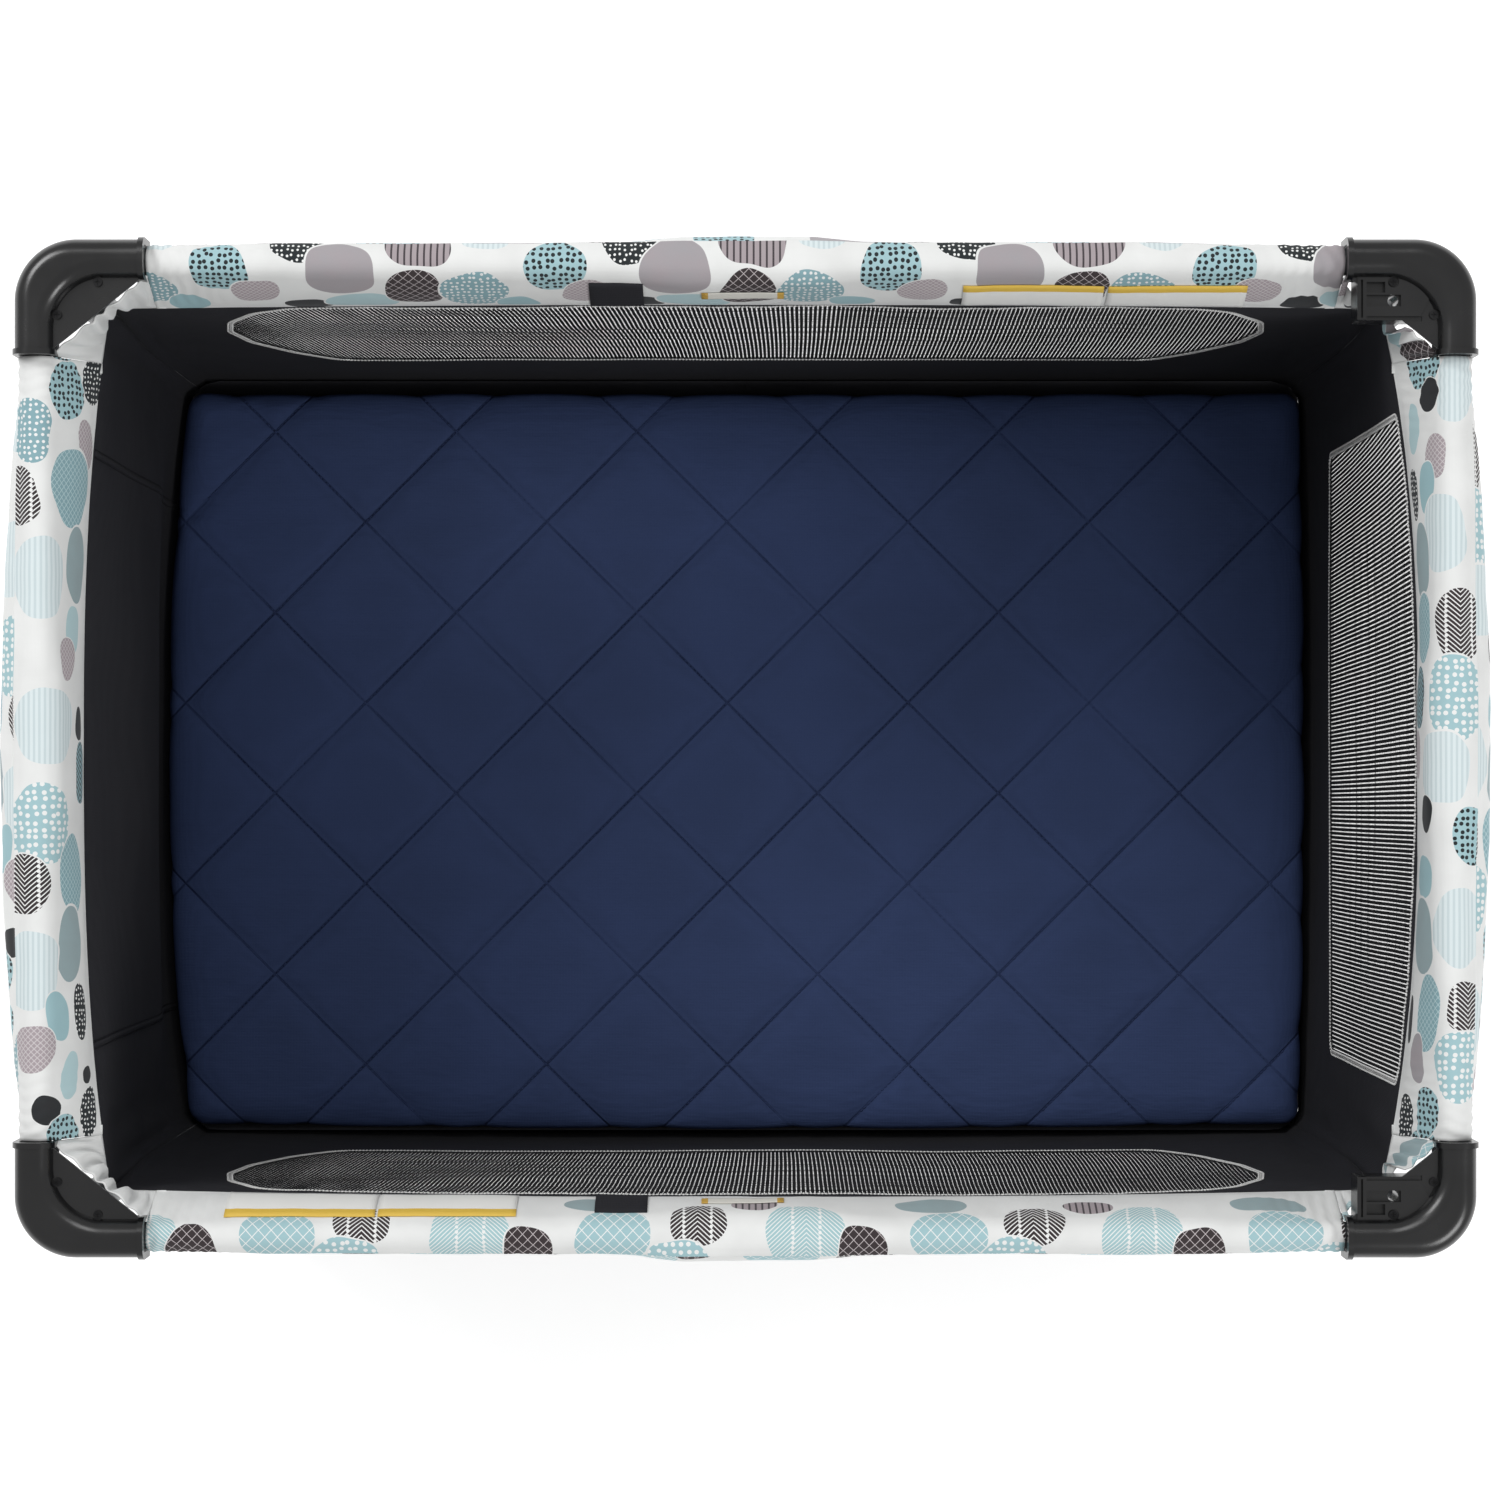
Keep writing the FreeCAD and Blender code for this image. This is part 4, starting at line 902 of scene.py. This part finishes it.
def make_overlock(side):
    """Light thread whipped over the window's edge, on both faces of the wall."""
    loop = window_outline(side)
    length = float(np.sum(np.hypot(*np.diff(np.vstack([loop, loop[:1]]), axis=0).T)))
    count = int(length / (1.4 * MM)) // 2 * 2
    even = even_loop(loop, count)
    run = np.roll(even, -1, axis=0) - np.roll(even, 1, axis=0)
    run /= np.linalg.norm(run, axis=1, keepdims=True)
    away = np.stack([run[:, 1], -run[:, 0]], 1)

    def beside(shift, proud):
        return [wall_point(side, p, z, proud) for p, z in even + away * shift * MM]

    chains = []
    for face in (-1, 1):
        for shift in (-1.5, 2.0):
            row = beside(shift, face * 1.0 * MM)
            chains += [[row[i], row[i + 1]] for i in range(0, count - 1, 2)]
    piece = threads("overlock_" + side, chains, outward(side), 0.62 * MM, 0.35 * MM, "thread")
    crossing = []
    for face in (-1, 1):
        swing = np.where(np.arange(count // 2) % 2 == 0, 1.9 * MM, -1.4 * MM)
        spots = even[::2] + away[::2] * swing[:len(even[::2]), None]
        crossing.append([wall_point(side, p, z, face * 0.9 * MM) for p, z in np.vstack([spots, spots[:1]])])
    whipping = threads("overlock_threads_" + side, crossing, outward(side), 0.22 * MM, 0.2 * MM, "thread")
    for made in (piece, whipping):
        squash_with_leg(made, side)
    return piece


def stitches(line, spacing, length):
    """The paths of short stitches along a line of points."""
    line = np.array(line, float)
    arc = np.concatenate([[0], np.cumsum(np.linalg.norm(np.diff(line, axis=0), axis=1))])
    paths = []
    for start in np.arange(0, arc[-1] - length, spacing):
        at = np.array([start, start + length / 2, start + length])
        paths.append(np.stack([np.interp(at, arc, line[:, k]) for k in range(3)], 1))
    return paths


def make_wall_seams():
    """Two upright seams with their stitching on the plain wall."""
    paths = []
    ridge = []
    for place in SEAM_PLACES:
        for shift in (-3 * MM, 3 * MM):
            line = [wall_point("left", place + shift, z, -0.9 * MM)
                    for z in np.linspace(WALL_LOW, SEAM_HEIGHT - 4 * MM, 80)]
            paths += stitches(line, 4.5 * MM, 3 * MM)
        ridge.append([wall_point("left", place, z, -0.8 * MM)
                      for z in np.linspace(WALL_LOW, SEAM_HEIGHT - 3 * MM, 60)])
    seam = threads("wall_seams_left", ridge, outward("left"), 2.0 * MM, 0.5 * MM, "wall_fabric")
    sewn = threads("wall_stitching_left", paths, outward("left"), 0.35 * MM, 0.25 * MM, "strap_webbing")
    for piece, slot in ((seam, "wall_fabric"), (sewn, "strap_webbing")):
        squash_with_leg(piece, "left")


# ---------------------------------------------------------------- floor sheet

def make_floor_quarter(corner, sx, sy):
    """A quarter of the floor sheet: it swings up with its strut."""
    columns, lines = 40, 30
    reach_x, reach_y = WALL_BASE[1], WALL_BASE[0]
    points = []
    for r in range(lines):
        for c in range(columns):
            x, y = reach_x * c / (columns - 1), reach_y * r / (lines - 1)
            over = max(x - (reach_x - 2 * CHAMFER), 0) + max(y - (reach_y - 2 * CHAMFER), 0) - 2 * CHAMFER
            if over > 0:
                x, y = x - over / 2, y - over / 2
            z = 54 * MM + 0.5 * MM * wave(x * 14 * sx, y * 14 * sy, 4)
            points.append(Vector((sx * x, sy * y, z)))
    piece = mesh_piece("floor_sheet_" + corner, points, grid_faces(lines, columns), "wall_fabric")
    thicken(piece, 1.0 * MM)
    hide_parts("floor_fabric")
    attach(piece, "strut_" + corner)
    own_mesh(piece)


# ---------------------------------------------------------------- mattress



def quilt_distance(x, y):
    """How far a place on the pad is from its nearest line of quilting."""
    along, down = x - QUILT_START[0], y - QUILT_START[1]
    return min(abs((way / QUILT + 0.5) % 1 - 0.5) * QUILT / math.sqrt(2)
               for way in (along + down, along - down))


def rounded_block(half_x, half_y, low, high, corner, edge):
    """A slab with round corners and soft edges, as a bmesh."""
    shape = bmesh.new()
    bmesh.ops.create_cube(shape, size=1)
    for v in shape.verts:
        v.co = Vector((v.co.x * 2 * half_x, v.co.y * 2 * half_y, lerp(low, high, v.co.z + 0.5)))
    upright = [e for e in shape.edges if abs(e.verts[0].co.z - e.verts[1].co.z) > 1e-6]
    bmesh.ops.bevel(shape, geom=upright, offset=corner, segments=8, affect="EDGES", profile=0.5)
    level = [e for e in shape.edges if abs(e.verts[0].co.z - e.verts[1].co.z) < 1e-6
             and all(abs(v.co.z - low) < 1e-6 or abs(v.co.z - high) < 1e-6 for v in e.verts)
             and len(e.link_faces) == 2 and abs(e.link_faces[0].normal.z - e.link_faces[1].normal.z) > 0.5]
    bmesh.ops.bevel(shape, geom=level, offset=edge, segments=5, affect="EDGES", profile=0.5)
    return shape


def inflate(piece, cap):
    """Fills the closed cloth with air for a moment and keeps the swelling, up to the cap."""
    before = np.array([v.co for v in piece.data.vertices])
    cloth = piece.modifiers.new("Cloth", "CLOTH")
    cloth.settings.use_pressure = True
    cloth.settings.uniform_pressure_force = 4
    cloth.settings.quality = 4
    cloth.settings.effector_weights.gravity = 0
    cloth.point_cache.frame_start, cloth.point_cache.frame_end = 1, 16
    for step in range(1, 17):
        bpy.context.scene.frame_set(step)
    apply_modifiers(piece)
    bpy.context.scene.frame_set(1)
    after = np.array([v.co for v in piece.data.vertices])
    moved = after - before
    size = np.linalg.norm(moved, axis=1, keepdims=True)
    moved *= np.minimum(1, cap / np.maximum(size, 1e-9))
    piece.data.vertices.foreach_set("co", (before + moved).ravel())


def pad_push(x, y, z):
    """How far the pad's edge is moved out at its end and at its side."""
    return bulge("left" if x < 0 else "right", y, z), bulge("front", x, z) if y < 0 else -BACK_GAP


def pinch_sides(points, high):
    """The pad's sides are drawn in where a line of quilting ends, and swell a little between."""
    for point in points:
        pull = 2.6 * MM * math.exp(-quilt_distance(*point[:2]) / (9 * MM))
        pull += 0.9 * MM * (1 + wave(point[0] * 14, point[1] * 14, 6))
        edges = [high[axis] + push for axis, push in enumerate(pad_push(*point))]
        for axis in (0, 1):
            side = smooth(edges[axis] - 16 * MM, edges[axis] - 2 * MM, abs(point[axis]))
            point[axis] -= math.copysign(pull * side, point[axis])


def spread_to_walls(points):
    """The pad's edges follow the bulged walls; it lies a little nearer the front."""
    for point in points:
        x, y, z = point
        at_end, at_side = clamp(abs(x) / WALL_BASE[1]) ** 5, clamp(abs(y) / WALL_BASE[0]) ** 5
        point[0] += math.copysign(bulge("left" if x < 0 else "right", y, z) * at_end, x)
        point[1] -= (bulge("front", x, z) if y < 0 else BACK_GAP) * at_side


def press_against_walls(points):
    """The pad gives where it meets the walls and their corners."""
    outwards = np.sign(points[:, :2])
    limits = [(WALL_BASE[1] + bulge("left" if x < 0 else "right", y, z) - END_SLACK,
               WALL_BASE[0] + bulge("front" if y < 0 else "back", x, z) - CLOTH_GAP) for x, y, z in points]
    reach = np.minimum(np.abs(points[:, :2]), limits)
    corner = WALL_BASE[0] + WALL_BASE[1] - 2 * CHAMFER - 1.4 * MM
    over = np.maximum(reach.sum(axis=1, keepdims=True) - corner, 0)
    points[:, :2] = outwards * (reach - over / 2)


def make_mattress():
    low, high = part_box("mattress_cover")
    shape = rounded_block((high.x - low.x) / 2 + 3 * MM, (high.y - low.y) / 2 + 0.5 * MM,
                          PAD_LOW + 1 * MM, PAD_HIGH - 3 * MM, 14 * MM, 8 * MM)
    mesh = bpy.data.meshes.new("mattress")
    shape.to_mesh(mesh)
    shape.free()
    piece = add_object("mattress", mesh)
    remesh = piece.modifiers.new("even", "REMESH")
    remesh.mode, remesh.voxel_size = "VOXEL", 7.4 * MM
    apply_modifiers(piece)
    inflate(piece, 5 * MM)
    finer = piece.modifiers.new("finer", "SUBSURF")
    finer.levels = finer.render_levels = 1
    apply_modifiers(piece)
    points = np.array([v.co for v in piece.data.vertices])
    spread_to_walls(points)
    for i, (x, y, z) in enumerate(points):
        at_end, at_side = pad_push(x, y, z)
        inside = min(high.x + at_end - abs(x), high.y + at_side - abs(y))
        on_top = smooth(PAD_HIGH - 22 * MM, PAD_HIGH - 8 * MM, z) * smooth(2 * MM, 22 * MM, inside)
        d = quilt_distance(x, y)
        groove = 1.1 * math.exp(-d / (4 * MM))
        pillow = 1.5 * (1 - math.exp(-d / (12 * MM)))
        pucker = 0.8 * wave(x * 70, y * 170, 3) * math.exp(-d / (14 * MM)) + 0.7 * wave(x * 12, y * 30, 8)
        points[i, 2] += on_top * (pillow - groove + pucker + 0.4) * MM
        points[i, 2] = max(points[i, 2], PAD_LOW + 0.3 * MM * (1 + wave(x * 20, y * 20, 1)))
    pinch_sides(points, high)
    press_against_walls(points)
    piece.data.vertices.foreach_set("co", points.ravel())
    piece.data.polygons.foreach_set("use_smooth", [True] * len(piece.data.polygons))
    piece.data.materials.clear()
    piece.data.materials.append(MATERIALS["mattress_cloth"])
    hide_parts("mattress_cover", "mattress_foam")
    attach(piece, "mattress")
    make_quilting(piece, high)
    return piece


def make_quilting(pad, high):
    """The stitches that hold the quilting, laid on the pad."""
    tree = BVHTree.FromPolygons([v.co for v in pad.data.vertices], [p.vertices for p in pad.data.polygons])
    paths = []
    reach = high.x + high.y
    for slope in (1, -1):
        for k in range(-12, 13):
            line = []
            for t in np.arange(-reach, reach, 1.5 * MM):
                x = QUILT_START[0] + k * QUILT / 2 + t
                y = QUILT_START[1] + slope * (t - k * QUILT / 2)
                if abs(x) > high.x - 16 * MM or abs(y) > high.y - 16 * MM:
                    continue
                hit = tree.ray_cast(Vector((x, y, 0.2)), Vector((0, 0, -1)))[0]
                if hit:
                    line.append(hit + Vector((0, 0, 0.15 * MM)))
            if len(line) > 20:
                paths += stitches(line, 4.2 * MM, 2.8 * MM)
    piece = threads("mattress_quilting", paths, (0, 0, 1), 0.4 * MM, 0.25 * MM, "inner_thread")
    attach(piece, "mattress")


# ---------------------------------------------------------------- the CAD parts' finishes

# the finish of each CAD part, by the start of its node's name
NODE_SLOTS = [
    ("corner_bracket", "casting_plastic"), ("leg_tube", "coated_steel"), ("leg_foot", "foot_plastic"),
    ("leg_fasteners", "blackened_steel"), ("wheel", "wheel_plastic"), ("floor_strut", "coated_steel"),
    ("floor_hub_rivets", "fastener_steel"), ("floor_hub_strap", "strap_webbing"),
    ("floor_hub", "hub_plastic"), ("rail_tube", "coated_steel"), ("rail_hub", "hub_plastic"),
    ("rail_latch", "fastener_steel"), ("rail_button", "button_plastic"), ("mattress_foam", "foam"),
    ("mattress_boards", "fibreboard"),
]


def finish_nodes():
    for name, node in frame["nodes"].items():
        for start, slot in NODE_SLOTS:
            if name.startswith(start):
                if not node.material_slots:
                    node.data.materials.append(MATERIALS[slot])
                for held in node.material_slots:
                    held.material = MATERIALS[slot]
                break


# ---------------------------------------------------------------- studio

FLOOR_REACH = 9
# lamps: place, what they point at, size and power
LAMPS = [
    ("left_box", (-2.3, 2.1, 3.3), (0, 0, 0.4), 1.5, 62),
    ("right_box", (2.4, -2.1, 3.3), (0, 0, 0.4), 1.5, 55),
    ("top_box", (0, 2.6, 4.2), (0, 0, 0.3), 1.6, 34),
]


def make_studio():
    mesh = bpy.data.meshes.new("studio_floor")
    corners = [(x * FLOOR_REACH, y * FLOOR_REACH, 0) for x, y in ((-1, -1), (1, -1), (1, 1), (-1, 1))]
    mesh.from_pydata(corners, [], [(0, 1, 2, 3)])
    mesh.materials.append(MATERIALS["floor"])
    floor = add_object("studio_floor", mesh)
    floor.location.z = -0.5 * MM
    world_light = bpy.data.worlds.new("studio")
    bpy.context.scene.world = world_light
    world_light.use_nodes = True
    world_light.node_tree.nodes["Background"].inputs[0].default_value = (1, 1, 1, 1)
    world_light.node_tree.nodes["Background"].inputs[1].default_value = 0.58
    for name, spot, aim, size, power in LAMPS:
        lamp = bpy.data.lights.new(name, "AREA")
        lamp.size, lamp.energy = size, power
        holder = add_object(name, lamp)
        holder.location = spot
        holder.rotation_euler = (Vector(spot) - Vector(aim)).to_track_quat("Z", "Y").to_euler()
    eye = bpy.data.cameras.new("camera")
    eye.sensor_width, eye.lens, eye.shift_x, eye.shift_y = 36, 96.4, 0.002, 0.0248
    camera = add_object("camera", eye)
    camera.location = (0, -0.026, 3.52)
    bpy.context.scene.camera = camera
    bpy.context.scene.view_settings.view_transform = "Standard"


def make_strap():
    """The webbing loop that lifts the floor's middle to fold the yard."""
    low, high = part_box("floor_hub_strap")
    path = [(low.y + 0.8 * MM, z) for z in np.linspace(low.z, high.z - 6 * MM, 8)]
    path += [(low.y + 0.8 * MM + 5 * MM * (1 - math.cos(t)), high.z - 6 * MM + 5 * MM * math.sin(t))
             for t in np.linspace(0.2, math.pi / 2, 7)]
    path += [(y, high.z - 1 * MM + 1.2 * MM * wave(y * 60, 3, 5))
             for y in np.linspace(path[-1][0] + 4 * MM, high.y, 18)]
    across = np.linspace(low.x, high.x, 7)
    points = [(x, y, z) for y, z in path for x in across]
    piece = mesh_piece("floor_strap", points, grid_faces(len(path), len(across)), "strap_webbing")
    thicken(piece, 1.6 * MM)
    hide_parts("floor_hub_strap")
    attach(piece, "floor_hub")


CORNERS = {"back_left": (-1, 1), "back_right": (1, 1), "front_left": (-1, -1), "front_right": (1, -1)}

make_studio()
finish_nodes()
for side in RAILS:
    for half in (-1, 1):
        make_sleeve(side, half)
for corner, (sx, sy) in CORNERS.items():
    make_gusset(corner, sx, sy)
    make_floor_quarter(corner, sx, sy)
for side in RAILS:
    make_wall(side)
    if side != "left":
        make_net(side)
        make_overlock(side)
make_wall_seams()
make_strap()
make_mattress()
for side, spans, low in (("back", ((153, 252), (255, 353)), 21), ("front", ((-366, -260), (-258, -161)), 15)):
    for number, span in enumerate(spans, start=1):
        sleeve_patch(f"label_{side}_{number}", side, span, (low, 58), "label")
for side, span, low, strip in (("back", (-110, -72), 18, (28, 39)), ("front", (-106, -69), 19, (31, 42))):
    sleeve_patch(f"tab_{side}", side, span, (low, 60), "wall_fabric", thickness=1.2 * MM)
    sleeve_patch(f"strip_{side}", side, (-31, 27), strip, "strip")
